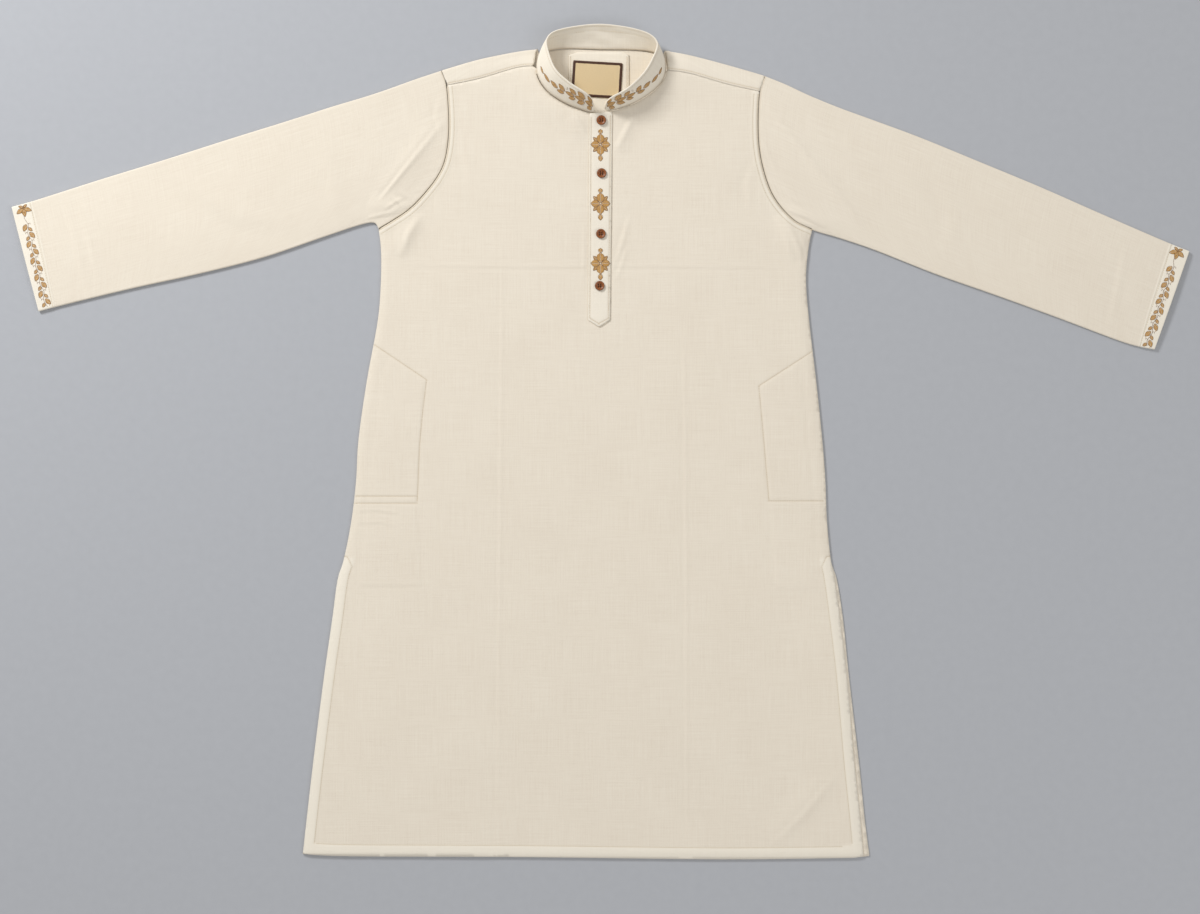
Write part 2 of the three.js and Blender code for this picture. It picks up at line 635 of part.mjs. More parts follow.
// A round button with a raised rim, a shallow dish and holes for its thread.
function buildButton() {
  const rim = BUTTON_RADIUS;
  const tall = BUTTON_THICKNESS;
  const profile = [
    [0, 0],
    [0.72 * rim, 0],
    [0.93 * rim, 0.2 * tall],
    [rim, 0.52 * tall],
    [0.95 * rim, 0.86 * tall],
    [0.83 * rim, tall],
    [0.7 * rim, 0.88 * tall],
    [0.58 * rim, 0.62 * tall],
    [0, 0.56 * tall],
  ].map(([x, y]) => new THREE.Vector2(x, y));
  let button = solidOf(new THREE.LatheGeometry(profile, BUTTON_SEGMENTS).rotateX(Math.PI / 2));
  for (const [sideX, sideY] of [[-1, -1], [1, -1], [-1, 1], [1, 1]]) {
    const hole = new THREE.CylinderGeometry(BUTTON_HOLE_RADIUS, BUTTON_HOLE_RADIUS, 3 * tall, 8);
    hole.rotateX(Math.PI / 2);
    hole.translate(sideX * BUTTON_HOLE_OFFSET, sideY * BUTTON_HOLE_OFFSET, 0);
    button = button.subtract(solidOf(hole));
  }
  return geometryOf(button);
}

const kurta = new THREE.Group();

function addPiece(name, shape, finish) {
  const geometry = shape.isBufferGeometry ? shape : geometryOf(shape);
  const mesh = new THREE.Mesh(geometry, new THREE.MeshStandardMaterial(finish));
  mesh.name = name;
  kurta.add(mesh);
  return mesh;
}

function outlineOf(table) {
  return table.map((row) => new THREE.Vector2(row.x, row.y));
}

addPiece('back_panel', buildBack(), COTTON);
addPiece('yoke', buildYoke(), COTTON);
addPiece('front_panel', buildFront(), COTTON);
addPiece('sleeve_left', buildSleeve(SLEEVE_LEFT, -1), COTTON);
addPiece('sleeve_right', buildSleeve(SLEEVE_RIGHT, 1), COTTON);
addPiece('collar_band', buildCollar(), COTTON_BAND);
addPiece('placket', buildPlacket(), COTTON_BAND);
addPiece('under_placket', buildUnderPlacket(), COTTON);
addPiece('pocket_bag_left', prism(outlineOf(BAG_LEFT), BAG_LEVEL, BAG_LEVEL + CLOTH), COTTON);
addPiece('pocket_bag_right', prism(outlineOf(BAG_RIGHT), BAG_LEVEL, BAG_LEVEL + CLOTH), COTTON);

const patch = addPiece(
  'label_patch',
  new THREE.BoxGeometry(PATCH.right - PATCH.left, PATCH.top - PATCH.foot, CLOTH),
  COTTON,
);
patch.position.set((PATCH.left + PATCH.right) / 2, (PATCH.top + PATCH.foot) / 2, BAG_LEVEL + CLOTH / 2);

const label = addPiece('label', new THREE.BoxGeometry(LABEL.width, LABEL.height, CLOTH), LABEL_CLOTH);
label.position.set(LABEL.x, LABEL.y, BAG_LEVEL + LAYER + CLOTH / 2);
label.rotation.z = LABEL.tilt;

BUTTON_PLACES.forEach(({ x, y }, i) => {
  const button = addPiece(`button_${i + 1}`, buildButton(), WOOD);
  const higher = frontUnderside(x, y + BUTTON_RADIUS);
  const lower = frontUnderside(x, y - BUTTON_RADIUS);
  const onPlacket = Math.max((higher + lower) / 2, frontUnderside(x, y)) + 2 * LAYER;
  button.position.set(x, y, onPlacket + SEAM_GAP);
  button.rotation.x = Math.atan2(higher - lower, 2 * BUTTON_RADIUS);
});

// Centre the garment's footprint on the origin.
const footprint = new THREE.Box3().setFromObject(kurta).getCenter(new THREE.Vector3());
kurta.position.set(-footprint.x, -footprint.y, 0);

export default kurta;
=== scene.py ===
"""A long-sleeved cotton kurta with a band collar, laid flat on its back with both sleeves spread.

Lengths are millimetres in the garment's own frame, x from the centre front, y up from the hem and
z up from the surface, until a mesh is made, which puts them in metres in the part's frame.
"""

import math

import bmesh
import bpy
import numpy as np
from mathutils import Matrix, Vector
from mathutils.bvhtree import BVHTree
from mathutils.geometry import delaunay_2d_cdt
from mathutils.kdtree import KDTree


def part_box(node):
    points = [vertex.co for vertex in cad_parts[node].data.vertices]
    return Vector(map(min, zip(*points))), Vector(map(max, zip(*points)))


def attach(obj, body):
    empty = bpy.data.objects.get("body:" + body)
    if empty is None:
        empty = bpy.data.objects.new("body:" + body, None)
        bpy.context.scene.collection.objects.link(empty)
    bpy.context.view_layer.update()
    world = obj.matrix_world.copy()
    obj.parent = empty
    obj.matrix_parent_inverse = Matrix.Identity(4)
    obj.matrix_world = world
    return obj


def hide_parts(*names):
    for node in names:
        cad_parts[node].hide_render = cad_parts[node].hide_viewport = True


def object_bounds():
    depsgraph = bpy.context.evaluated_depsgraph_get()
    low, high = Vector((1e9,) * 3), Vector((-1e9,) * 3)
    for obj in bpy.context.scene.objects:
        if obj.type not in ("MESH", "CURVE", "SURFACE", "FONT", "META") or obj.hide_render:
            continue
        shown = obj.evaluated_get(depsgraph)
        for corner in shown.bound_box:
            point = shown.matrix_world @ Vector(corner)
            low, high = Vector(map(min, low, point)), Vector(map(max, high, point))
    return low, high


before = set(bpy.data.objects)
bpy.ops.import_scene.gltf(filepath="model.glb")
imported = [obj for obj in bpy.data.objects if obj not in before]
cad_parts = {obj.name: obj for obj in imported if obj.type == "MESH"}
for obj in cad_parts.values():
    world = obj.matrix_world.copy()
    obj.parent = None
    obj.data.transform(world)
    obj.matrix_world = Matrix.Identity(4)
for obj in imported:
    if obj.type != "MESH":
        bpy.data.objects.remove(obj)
cad_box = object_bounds()


# The studio: a pale paper floor, a soft key light from the upper left, a broad fill from the other
# side, and a camera that looks straight down.
def srgb(red, green, blue):
    """A colour from its display values, as the linear numbers that a shader takes."""
    return tuple((c / 255) ** 2.2 for c in (red, green, blue)) + (1.0,)


class Wire:
    """One output socket of a node. Arithmetic on it adds Math nodes to its tree."""

    def __init__(self, graph, socket):
        self.graph = graph
        self.socket = socket

    def other(self, name):
        return Wire(self.graph, self.socket.node.outputs[name])

    def math(self, operation, first, second):
        return self.graph.node("ShaderNodeMath", {"operation": operation}, {0: first, 1: second})

    def __add__(self, value):
        return self.math("ADD", self, value)

    def __sub__(self, value):
        return self.math("SUBTRACT", self, value)

    def __rsub__(self, value):
        return self.math("SUBTRACT", value, self)

    def __mul__(self, value):
        return self.math("MULTIPLY", self, value)

    def __pow__(self, value):
        return self.math("POWER", self, value)

    __radd__ = __add__
    __rmul__ = __mul__


class Graph:
    """A node tree being built. node() adds any node with its settings and inputs."""

    def __init__(self, tree):
        self.tree = tree

    def node(self, kind, settings=None, inputs=None, output=0):
        made = self.tree.nodes.new(kind)
        for key, value in (settings or {}).items():
            if key == "stops":
                for stop, (place, colour) in zip(made.color_ramp.elements, value):
                    stop.position = place
                    stop.color = colour
            else:
                setattr(made, key, value)
        for key, value in (inputs or {}).items():
            self.feed(made.inputs[key], value)
        return Wire(self, made.outputs[output])

    def feed(self, socket, value):
        if isinstance(value, Wire):
            self.tree.links.new(value.socket, socket)
        else:
            socket.default_value = value

    def noise(self, coords, stretch, detail=2.0):
        spread = self.node("ShaderNodeVectorMath", {"operation": "MULTIPLY"}, {0: coords, 1: stretch})
        return self.node("ShaderNodeTexNoise", {}, {"Vector": spread, "Scale": 1.0, "Detail": detail})

    def mix(self, factor, first, second):
        sockets = {0: factor, 6: first, 7: second}
        return self.node("ShaderNodeMix", {"data_type": "RGBA"}, sockets, output=2)

    def ramp(self, factor, low, high):
        """0 below low, 1 above high."""
        inputs = {"Value": factor, "From Min": low, "From Max": high}
        return self.node("ShaderNodeMapRange", {"clamp": True}, inputs)


def finish_named(name, **constants):
    """A new material's graph and its Principled shader, with the shader's own constants set."""
    material = bpy.data.materials.new(name)
    material.use_nodes = True
    shader = material.node_tree.nodes["Principled BSDF"]
    for socket, value in constants.items():
        shader.inputs[socket.replace("_", " ")].default_value = value
    return material, Graph(material.node_tree), shader


FLOOR_REACH = 4.0
FLOOR_DROP = 0.0004
paper, graph, shader = finish_named("pale_paper", Roughness=0.95)
grain = graph.noise(graph.node("ShaderNodeTexCoord", output=3), (90.0, 90.0, 1.0), 4.0)
graph.feed(shader.inputs["Base Color"], graph.mix(grain, srgb(178, 181, 187), srgb(184, 187, 193)))
floor_mesh = bpy.data.meshes.new("floor")
corners = [(sx * FLOOR_REACH, sy * FLOOR_REACH, -FLOOR_DROP) for sx,
           sy in ((-1, -1), (1, -1), (1, 1), (-1, 1))]
floor_mesh.from_pydata(corners, [], [(0, 1, 2, 3)])
floor_mesh.materials.append(paper)
floor = bpy.data.objects.new("floor", floor_mesh)
bpy.context.collection.objects.link(floor)

for name, place, size, watts in (
    ("key_light", (-1.9, 2.1, 1.75), 0.7, 68),
    ("fill_light", (2.4, -1.2, 2.6), 2.5, 28),
):
    lamp = bpy.data.lights.new(name, "AREA")
    lamp.size = size
    lamp.energy = watts
    lamp_object = bpy.data.objects.new(name, lamp)
    lamp_object.location = place
    lamp_object.rotation_euler = (-Vector(place)).to_track_quat("-Z", "Y").to_euler()
    bpy.context.collection.objects.link(lamp_object)
room = bpy.data.worlds.new("room")
room.use_nodes = True
room.node_tree.nodes["Background"].inputs["Color"].default_value = (1.0, 0.98, 0.95, 1.0)
room.node_tree.nodes["Background"].inputs["Strength"].default_value = 0.45
bpy.context.scene.world = room
bpy.context.scene.view_settings.view_transform = "Standard"

CAMERA_HEIGHT = 3.0
VIEW_WIDTH = 1.548
lens = bpy.data.cameras.new("camera")
lens.sensor_width = 36
lens.lens = lens.sensor_width * CAMERA_HEIGHT / VIEW_WIDTH
camera = bpy.data.objects.new("camera", lens)
camera.location = (-0.0006, -0.0186, CAMERA_HEIGHT)
bpy.context.collection.objects.link(camera)
bpy.context.scene.camera = camera


# The back panel: cream hand-loomed cotton, slubbed both ways, lying face down on the surface.
# Its hem and slit hems are turned once and stitched. It ends at the yoke's back seam.
MM = 0.001
CLOTH = 1.0
SEAM_GAP = 0.3
LAYER = CLOTH + SEAM_GAP
FRONT_LEVEL = 2 * LAYER
HEM_DEPTH = 15
SLIT_HEM = 13.5
SLIT_TOP = 386
YOKE_BACK_SEAM = 945
UNDERARM_Y = 812
EDGE_ROLL = 9

# y, left edge, front's right edge, back's right edge
SIDES = np.array([
    (4, -384, 339, 347), (50, -379, 335, 341), (128, -370, 327, 333), (231, -357, 318, 321),
    (308, -346, 309, 313), (360, -339, 302, 305), (386, -331, 297, 297), (437, -321, 292, 292),
    (489, -315, 290, 290), (541, -312, 286, 286), (618, -301, 278, 278), (695, -287, 269, 269),
    (747, -283, 265, 265), (786, -283, 268, 268), (812, -286, 273, 273),
], float)
HEM = np.array([(-384, 7), (-323, 4), (-117, 3), (90, 0.5), (193, 0), (339, 2)], float)
ARM_LEFT = np.array([
    (-286, 812), (-266, 824), (-247, 837), (-228, 856), (-209, 881), (-199, 906), (-195, 945),
    (-198, 996), (-205, 1017),
], float)
ARM_RIGHT = np.array([
    (273, 812), (250, 823), (229, 845), (216, 869), (206, 906), (203, 943), (205, 988), (212, 1010),
], float)


def smooth(rows, count):
    """The rows of a table resampled along a smooth run through them all."""
    place = np.linspace(0, len(rows) - 1, count)
    k = np.minimum(place.astype(int), len(rows) - 2)
    t = (place - k)[:, None]
    start, end = rows[k], rows[k + 1]
    slope_in = (end - rows[np.maximum(k - 1, 0)]) / 2
    slope_out = (rows[np.minimum(k + 2, len(rows) - 1)] - start) / 2
    return ((2 * t**3 - 3 * t**2 + 1) * start + (t**3 - 2 * t**2 + t) * slope_in
            + (3 * t**2 - 2 * t**3) * end + (t**3 - t**2) * slope_out)


def even(run, step):
    """A run of straight stretches resampled to about even steps."""
    run = np.asarray(run, float)
    lengths = np.r_[0, np.cumsum(np.hypot(*np.diff(run[:, :2], axis=0).T))]
    marks = np.linspace(0, lengths[-1], max(2, int(round(lengths[-1] / step)) + 1))
    return np.column_stack([np.interp(marks, lengths, column) for column in run.T])


def beside(run, distance):
    """The run moved sideways, to its left where the distance is positive."""
    run = np.asarray(run, float)
    ahead = np.gradient(run, axis=0)
    ahead /= np.maximum(np.hypot(*ahead.T), 1e-9)[:, None]
    return run + distance * np.column_stack((-ahead[:, 1], ahead[:, 0]))


def across(x, y, run):
    """For every point, its signed distance from a run and how far along the run it lies, 0 to 1."""
    run = np.asarray(run, float)
    distance = np.full(np.shape(x), 1e9)
    along = np.zeros(np.shape(x))
    spans = np.hypot(*np.diff(run, axis=0).T)
    starts = np.r_[0, np.cumsum(spans)]
    for (x1, y1), (x2, y2), span, start in zip(run[:-1], run[1:], spans, starts):
        if span < 1e-9:
            continue
        dx, dy = (x2 - x1) / span, (y2 - y1) / span
        reach = (x - x1) * dx + (y - y1) * dy
        t = np.clip(reach, 0, span)
        gap = np.hypot(x - x1 - t * dx, y - y1 - t * dy)
        side = np.where(dx * (y - y1) - dy * (x - x1) >= 0, 1, -1)
        closer = gap < np.abs(distance)
        distance = np.where(closer, gap * side, distance)
        along = np.where(closer, (start + t) / starts[-1], along)
    return distance, along


def ease(value, start, end):
    t = np.clip((value - start) / (end - start), 0, 1)
    return t * t * (3 - 2 * t)


CREASE_DEPTH = 1.3


def creases(x, y, table):
    """Folds pressed in the cloth: a ridge beside a trough, both fading out at the ends of the run."""
    height = np.zeros(np.shape(x))
    for run, width, ridge, trough in table:
        side, along = across(x, y, run)
        fade = np.sin(math.pi * np.clip(along, 0.001, 0.999)) ** 0.5
        height += CREASE_DEPTH * fade * (ridge * np.exp(-((side - width * 0.5) / width) ** 2)
                          - trough * np.exp(-((side + width * 0.5) / width) ** 2))
    return height


def waves(x, y, size):
    """The soft unevenness of pressed cotton that lies on a table."""
    return size * (np.sin(x / 31 + y / 73 + 0.8) * np.sin(y / 47 - x / 120 + 0.3)
                   + 0.7 * np.sin(x / 17 - y / 58 + 2.1) * np.sin(y / 29 + x / 66)
                   + 0.5 * np.sin(x / 53 + y / 19 + 1.0) * np.sin(x / 23 + 0.5))


def inside(points, rim):
    """Which points lie inside a closed rim."""
    order = np.argsort(points[:, 1])
    xs, ys = points[order].T
    odd = np.zeros(len(points), bool)
    for (x1, y1), (x2, y2) in zip(rim, np.roll(rim, -1, axis=0)):
        if y1 != y2:
            a, b = np.searchsorted(ys, sorted((y1, y2)))
            odd[a:b] ^= xs[a:b] < x1 + (ys[a:b] - y1) * (x2 - x1) / (y2 - y1)
    found = np.empty_like(odd)
    found[order] = odd
    return found


def tree_of(points):
    tree = KDTree(len(points))
    for i, (x, y) in enumerate(points):
        tree.insert((x, y, 0), i)
    tree.balance()
    return tree


def spots_in(rim, step, rails=(), near=()):
    """Points for a panel's face: rows along the rails, a fine lattice near them, a coarse one beyond."""
    low, high = rim.min(0), rim.max(0)
    rise = step * math.sqrt(3) / 2
    i, j = np.meshgrid(np.arange(-2, (high[0] - low[0]) / step + 2),
                       np.arange((high[1] - low[1]) / rise + 1))
    lattice = np.column_stack(((low[0] + (i + 0.5 * (j % 2)) * step).ravel(), (low[1] + j * rise).ravel()))
    coarse = ((j % 2 == 0) & (i % 2 == 0)).ravel() | ((j % 4 == 2) & (i % 2 == 1)).ravel()
    rows = [even(beside(even(run, 2.0), shift), 2.2) for run in rails
            for shift in (-2.1, -0.9, 0, 0.9, 2.1)]
    rows = np.vstack(rows) if rows else np.zeros((0, 2))
    if len(rows):
        cell = np.unique(np.round(rows / 0.75).astype(int), axis=0, return_index=True)[1]
        rows = rows[np.sort(cell)]
    marks = [even(run, 4.0) for run in [*rails, *near]]
    if marks:
        close = tree_of(np.vstack(marks))
        on_rail = tree_of(rows) if len(rows) else None
        keep = np.array([
            (flag or close.find((x, y, 0))[2] < 9.0) and (on_rail is None or on_rail.find((x, y, 0))[2] > 1.6)
            for (x, y), flag in zip(lattice, coarse)
        ])
        lattice = lattice[keep]
    lattice = lattice + np.random.default_rng(4).uniform(-0.06, 0.06, lattice.shape) * step
    spots = np.vstack((rows + np.random.default_rng(5).uniform(-0.06, 0.06, rows.shape), lattice))
    spots = spots[inside(spots, rim)]
    edge = tree_of(rim)
    return spots[np.array([edge.find((x, y, 0))[2] > 1.3 for x, y in spots])]


def triangles_of(rim, spots):
    flat = np.vstack((rim, spots))
    loop = [(i, (i + 1) % len(rim)) for i in range(len(rim))]
    _, _, faces, origins, _, _ = delaunay_2d_cdt([Vector(p) for p in flat], loop, [], 0, 1e-7)
    first = np.array([o[0] if o else -1 for o in origins])
    faces = first[np.array(faces)]
    faces = faces[(faces >= 0).all(1)]
    faces = faces[inside(flat[faces].mean(axis=1), rim)]
    first, second = (flat[faces[:, k]] - flat[faces[:, 0]] for k in (1, 2))
    turned = first[:, 0] * second[:, 1] < first[:, 1] * second[:, 0]
    faces[turned] = faces[turned][:, ::-1]
    return faces


def row_frame(points):
    return np.asarray(points, float) * MM + np.array((0.0, cad_box[0].y, cad_box[0].z))


def piece_of(name, points, faces, material, flat=None, values=None, ordered=False):
    """A mesh object with its faces turned outwards, its weave as a UV map and its values as attributes.
    An ordered piece already has faces that agree, so only their common side is looked at."""
    mesh = bpy.data.meshes.new(name)
    mesh.from_pydata(row_frame(points).tolist(), [], [list(map(int, f)) for f in faces])
    if flat is not None:
        corner = np.zeros(len(mesh.loops), int)
        mesh.loops.foreach_get("vertex_index", corner)
        layer = mesh.uv_layers.new(name="weave")
        layer.data.foreach_set("uv", np.asarray(flat, np.float32)[corner].ravel() * MM)
    for key, value in (values or {}).items():
        layer = mesh.attributes.new(key, "FLOAT", "POINT")
        layer.data.foreach_set("value", np.asarray(value, np.float32))
    shape = bmesh.new()
    shape.from_mesh(mesh)
    if not ordered:
        bmesh.ops.recalc_face_normals(shape, faces=shape.faces)
    if shape.calc_volume(signed=True) < 0:
        bmesh.ops.reverse_faces(shape, faces=shape.faces)
    shape.to_mesh(mesh)
    shape.free()
    mesh.shade_smooth()
    mesh.materials.append(material)
    piece = bpy.data.objects.new(name, mesh)
    bpy.context.collection.objects.link(piece)
    return piece


def cut_cloth(name, outline, place, relief, marks, material, rails=(), near=(), step=2.3, under_step=9.0):
    """One cut panel as a thin closed shell. place(x, y, out) puts a spot of the flat cut where it lies,
    out from the cloth's middle; relief(x, y) is what the outer face adds; marks gives its values."""
    rim = even(np.vstack((outline, outline[:1])), 2.6)[:-1]
    if np.sum(rim[:, 0] * np.roll(rim[:, 1], -1) - rim[:, 1] * np.roll(rim[:, 0], -1)) < 0:
        rim = rim[::-1].copy()
    turn = np.arange(len(rim))
    rim += 0.004 * np.column_stack((np.sin(1.7 * turn), np.cos(2.3 * turn)))  # no three in one line
    outer = np.vstack((rim, spots_in(rim, step, rails, near)))
    inner = np.vstack((rim, spots_in(rim, under_step)))
    count = len(rim)
    raised = relief(*outer.T)
    raised[:count] = raised[:count] * 0.5 - 0.22
    middle = place(*rim.T, np.full(count, 0.12))
    top = place(*outer.T, CLOTH / 2 + raised)
    under = place(*inner.T, np.full(len(inner), -CLOTH / 2))
    points = np.vstack((top, middle, under))
    faces = list(triangles_of(rim, outer[count:]))
    faces += list(triangles_of(rim, inner[count:])[:, ::-1] + len(outer) + count)
    a = np.arange(count)
    b = (a + 1) % count
    for upper, lower in ((0, len(outer)), (len(outer), len(outer) + count)):
        faces += list(np.column_stack((upper + a, lower + a, lower + b, upper + b)))
    flat = np.vstack((outer, rim, inner))
    values = {key: np.r_[value, value[:count], np.zeros(len(inner))] for key,
              value in marks(*outer.T).items()}
    return piece_of(name, points, faces, material, flat, values, ordered=True)


def cotton(name, light, dark, doubled, shade, slub=1.0):
    """Plain-weave hand-loomed cotton: slubs along warp and weft, a fine thread bump, paler where it is
    double, and painted shade along its seams, its stitch rows and where pieces meet."""
    material, graph, shader = finish_named(
        name, Roughness=0.92, Sheen_Weight=0.12, Sheen_Roughness=0.55, Specular_IOR_Level=0.25)
    cloth = graph.node("ShaderNodeUVMap", {"uv_map": "weave"})
    warp = graph.noise(cloth, (1000.0, 17.0, 1.0), 3.0)
    weft = graph.noise(cloth, (19.0, 1050.0, 1.0), 3.0)
    slubs = graph.ramp(graph.noise(cloth, (620.0, 55.0, 1.0), 1.0), 0.60, 0.72)
    slubs_across = graph.ramp(graph.noise(cloth, (50.0, 680.0, 1.0), 1.0), 0.60, 0.72)
    cloud = graph.noise(cloth, (14.0, 11.0, 1.0), 3.0)
    tone = graph.ramp(warp * 0.5 + weft * 0.5 + cloud * 0.25 - (slubs + slubs_across) * (0.07 * slub),
                      0.42, 0.80)
    colour = graph.mix(tone, dark, light)
    double = graph.node("ShaderNodeAttribute", {"attribute_name": "double"}, output="Fac")
    # The seam attribute carries painted shade: it darkens the cloth toward the shade colour in stitch grooves
    # and where pieces meet.
    seam = graph.node("ShaderNodeAttribute", {"attribute_name": "seam"}, output="Fac")
    colour = graph.mix(double * 0.7, colour, doubled)
    colour = graph.mix(seam, colour, shade)
    graph.feed(shader.inputs["Base Color"], colour)
    split = graph.node("ShaderNodeSeparateXYZ", {}, {0: cloth})
    threads = [graph.node("ShaderNodeMath", {"operation": "SINE"}, {0: axis * 8500.0})
               for axis in (split, split.other("Y"))]
    height = warp * 0.7 + weft * 0.7 + (slubs + slubs_across) * 0.35 + threads[0] * threads[1] * 0.16
    bump = graph.node("ShaderNodeBump", {}, {"Strength": 0.55, "Distance": 0.0003, "Height": height})
    graph.feed(shader.inputs["Normal"], bump)
    return material


# The last colour of each cotton is its painted seam shade.
body_cotton = cotton("body_cotton", srgb(244, 235, 219), srgb(235, 224, 207), srgb(252, 246, 232),
                     srgb(186, 166, 134))
TOP_OF = {}


def remember(piece):
    """Keeps a made piece's surface, so that stitches can be laid on it."""
    mesh = piece.data
    TOP_OF[piece.name] = BVHTree.FromPolygons([v.co for v in mesh.vertices],
                                              [p.vertices for p in mesh.polygons])
    return piece


def laid_on(name, x, y, below=False):
    """Where a piece's face lies over plan points, with its normals, in metres."""
    found, normals = [], []
    start, way = (-1.0, 1.0) if below else (1.0, -1.0)
    for point in row_frame(np.column_stack((x, y, np.zeros(len(x))))):
        hit, normal, _, _ = TOP_OF[name].ray_cast((point[0], point[1], start), (0, 0, way))
        found.append(hit if hit else (math.nan,) * 3)
        normals.append(normal if hit else (0, 0, -way))
    return np.array(found), np.array(normals)


def node_tree(name, inputs):
    tree = bpy.data.node_groups.new(name, "GeometryNodeTree")
    tree.interface.new_socket("Geometry", in_out="INPUT", socket_type="NodeSocketGeometry")
    for label, kind in inputs:
        tree.interface.new_socket(label, in_out="INPUT", socket_type=kind)
    tree.interface.new_socket("Geometry", in_out="OUTPUT", socket_type="NodeSocketGeometry")
    return tree


def finish_tree(graph, instances, material):
    """Realises the instances, shades them smooth and gives them their material."""
    real = graph.node("GeometryNodeRealizeInstances", {}, {"Geometry": instances})
    soft = graph.node("GeometryNodeSetShadeSmooth", {}, {"Geometry": real})
    dressed = graph.node("GeometryNodeSetMaterial", {}, {"Geometry": soft, "Material": material})
    end = graph.tree.nodes.new("NodeGroupOutput")
    graph.feed(end.inputs["Geometry"], dressed)


def grown(name, carrier, tree, settings):
    """Runs a geometry tree on a carrier mesh and keeps the result as a plain mesh object."""
    holder = bpy.data.objects.new(name + "_carrier", carrier)
    bpy.context.collection.objects.link(holder)
    modifier = holder.modifiers.new("grow", "NODES")
    modifier.node_group = tree
    for socket in tree.interface.items_tree:
        if socket.in_out == "INPUT" and socket.name in settings:
            modifier[socket.identifier] = settings[socket.name]
    evaluated = holder.evaluated_get(bpy.context.evaluated_depsgraph_get())
    mesh = bpy.data.meshes.new_from_object(evaluated)
    mesh.name = name
    holder.modifiers.clear()
    bpy.data.objects.remove(holder)
    piece = bpy.data.objects.new(name, mesh)
    bpy.context.collection.objects.link(piece)
    return piece


def stitch_tree():
    """Running stitches along a path: one rounded thread at every pitch, standing on the cloth."""
    tree = node_tree("running_stitch", [
        ("Pitch", "NodeSocketFloat"), ("Stitch Length", "NodeSocketFloat"),
        ("Thread Width", "NodeSocketFloat"),
        ("Seed", "NodeSocketInt"), ("Material", "NodeSocketMaterial")])
    graph = Graph(tree)
    start = graph.node("NodeGroupInput")
    curve = graph.node("GeometryNodeMeshToCurve", {}, {"Mesh": start})
    points = graph.node("GeometryNodeCurveToPoints", {"mode": "LENGTH"},
                        {"Curve": curve, "Length": start.other("Pitch")})
    up = graph.node("GeometryNodeInputNamedAttribute", {"data_type": "FLOAT_VECTOR"}, {"Name": "up"})
    turn = graph.node("FunctionNodeAxesToRotation", {"primary_axis": "Z", "secondary_axis": "Y"},
                      {"Primary Axis": points.other("Tangent"), "Secondary Axis": up})
    vary = graph.node("FunctionNodeRandomValue", {"data_type": "FLOAT"},
                      {2: 0.88, 3: 1.08, "Seed": start.other("Seed")}, 1)
    width = start.other("Thread Width")
    size = graph.node("ShaderNodeCombineXYZ", {},
                      {0: width, 1: width * 0.7, 2: start.other("Stitch Length") * vary})
    thread = graph.node("GeometryNodeMeshUVSphere", {}, {"Segments": 6, "Rings": 3, "Radius": 0.5})
    instances = graph.node("GeometryNodeInstanceOnPoints", {},
                           {"Points": points, "Instance": thread, "Rotation": turn, "Scale": size})
    finish_tree(graph, instances, start.other("Material"))
    return tree


running_stitch = stitch_tree()
STITCH_PITCH = 3.0
stitch_thread, graph, shader = finish_named("stitch_thread", Roughness=0.7, Sheen_Weight=0.2)
fray = graph.noise(graph.node("ShaderNodeTexCoord", output=3), (400.0, 400.0, 400.0), 2.0)
graph.feed(shader.inputs["Base Color"], graph.mix(fray, srgb(196, 176, 140), srgb(222, 206, 176)))


def sew(name, rows, seed, width=0.5):
    """Rows of machine stitches along paths of points with their ups, in metres."""
    points, ups, edges = [], [], []
    for path, normals in rows:
        good = ~np.isnan(path[:, 0])
        path, normals = path[good], normals[good]
        edges += [(len(points) + i, len(points) + i + 1) for i in range(len(path) - 1)]
        points += path.tolist()
        ups += normals.tolist()
    carrier = bpy.data.meshes.new(name)
    carrier.from_pydata(points, edges, [])
    layer = carrier.attributes.new("up", "FLOAT_VECTOR", "POINT")
    layer.data.foreach_set("vector", np.asarray(ups, np.float32).ravel())
    piece = grown(name, carrier, running_stitch, {
        "Pitch": STITCH_PITCH * MM, "Stitch Length": 0.8 * STITCH_PITCH * MM, "Thread Width": width * MM,
        "Seed": seed, "Material": stitch_thread})
    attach(piece, "root")
    return piece


def rows_on(name, runs, below=False):
    return [laid_on(name, *even(run, 4.0).T, below) for run in runs]


left_side = smooth(SIDES[:, [1, 0]], 60)
front_right_side = smooth(SIDES[:, [2, 0]], 60)
back_right_side = smooth(SIDES[:, [3, 0]], 60)
hem_line = smooth(HEM, 40)
arm_left = smooth(ARM_LEFT, 40)
arm_right = smooth(ARM_RIGHT, 40)


def hem_runs(right_side, foot):
    """The stitch rows of the hem and the two slit hems."""
    ends = (foot[0, 0] + SLIT_HEM, foot[-1, 0] - SLIT_HEM)
    hem = foot[(foot[:, 0] > ends[0]) & (foot[:, 0] < ends[1])] + (0, HEM_DEPTH)
    runs = [hem]
    for side, sign in ((left_side, 1), (right_side, -1)):
        below = side[side[:, 1] < SLIT_TOP - 4]
        run = below + (sign * SLIT_HEM, 0)
        run = run[run[:, 1] > HEM_DEPTH + 4]
        runs.append(np.vstack((run, [(run[-1, 0] - sign * 6, SLIT_TOP + 4),
                                     (run[-1, 0] - sign * SLIT_HEM, SLIT_TOP + 5)])))
    return runs


def hem_height(x, y, right_side):
    """1 on the turned hems and 0 on the single cloth."""
    from_hem = y - np.interp(x, *hem_line.T)
    from_side = np.minimum(x - np.interp(y, left_side[:, 1], left_side[:, 0]),
                           np.interp(y, right_side[:, 1], right_side[:, 0]) - x)
    below_slit = 1 - ease(y, SLIT_TOP - 2, SLIT_TOP + 6)
    return np.maximum(1 - ease(from_hem, HEM_DEPTH, HEM_DEPTH + 1.4),
                      (1 - ease(from_side, SLIT_HEM, SLIT_HEM + 1.4)) * below_slit)


def groove(x, y, runs, width=0.9):
    """1 on a stitched row and 0 away from it."""
    found = np.zeros(np.shape(x))
    for run in runs:
        found = np.maximum(found, np.exp(-(across(x, y, run)[0] / width) ** 2))
    return found


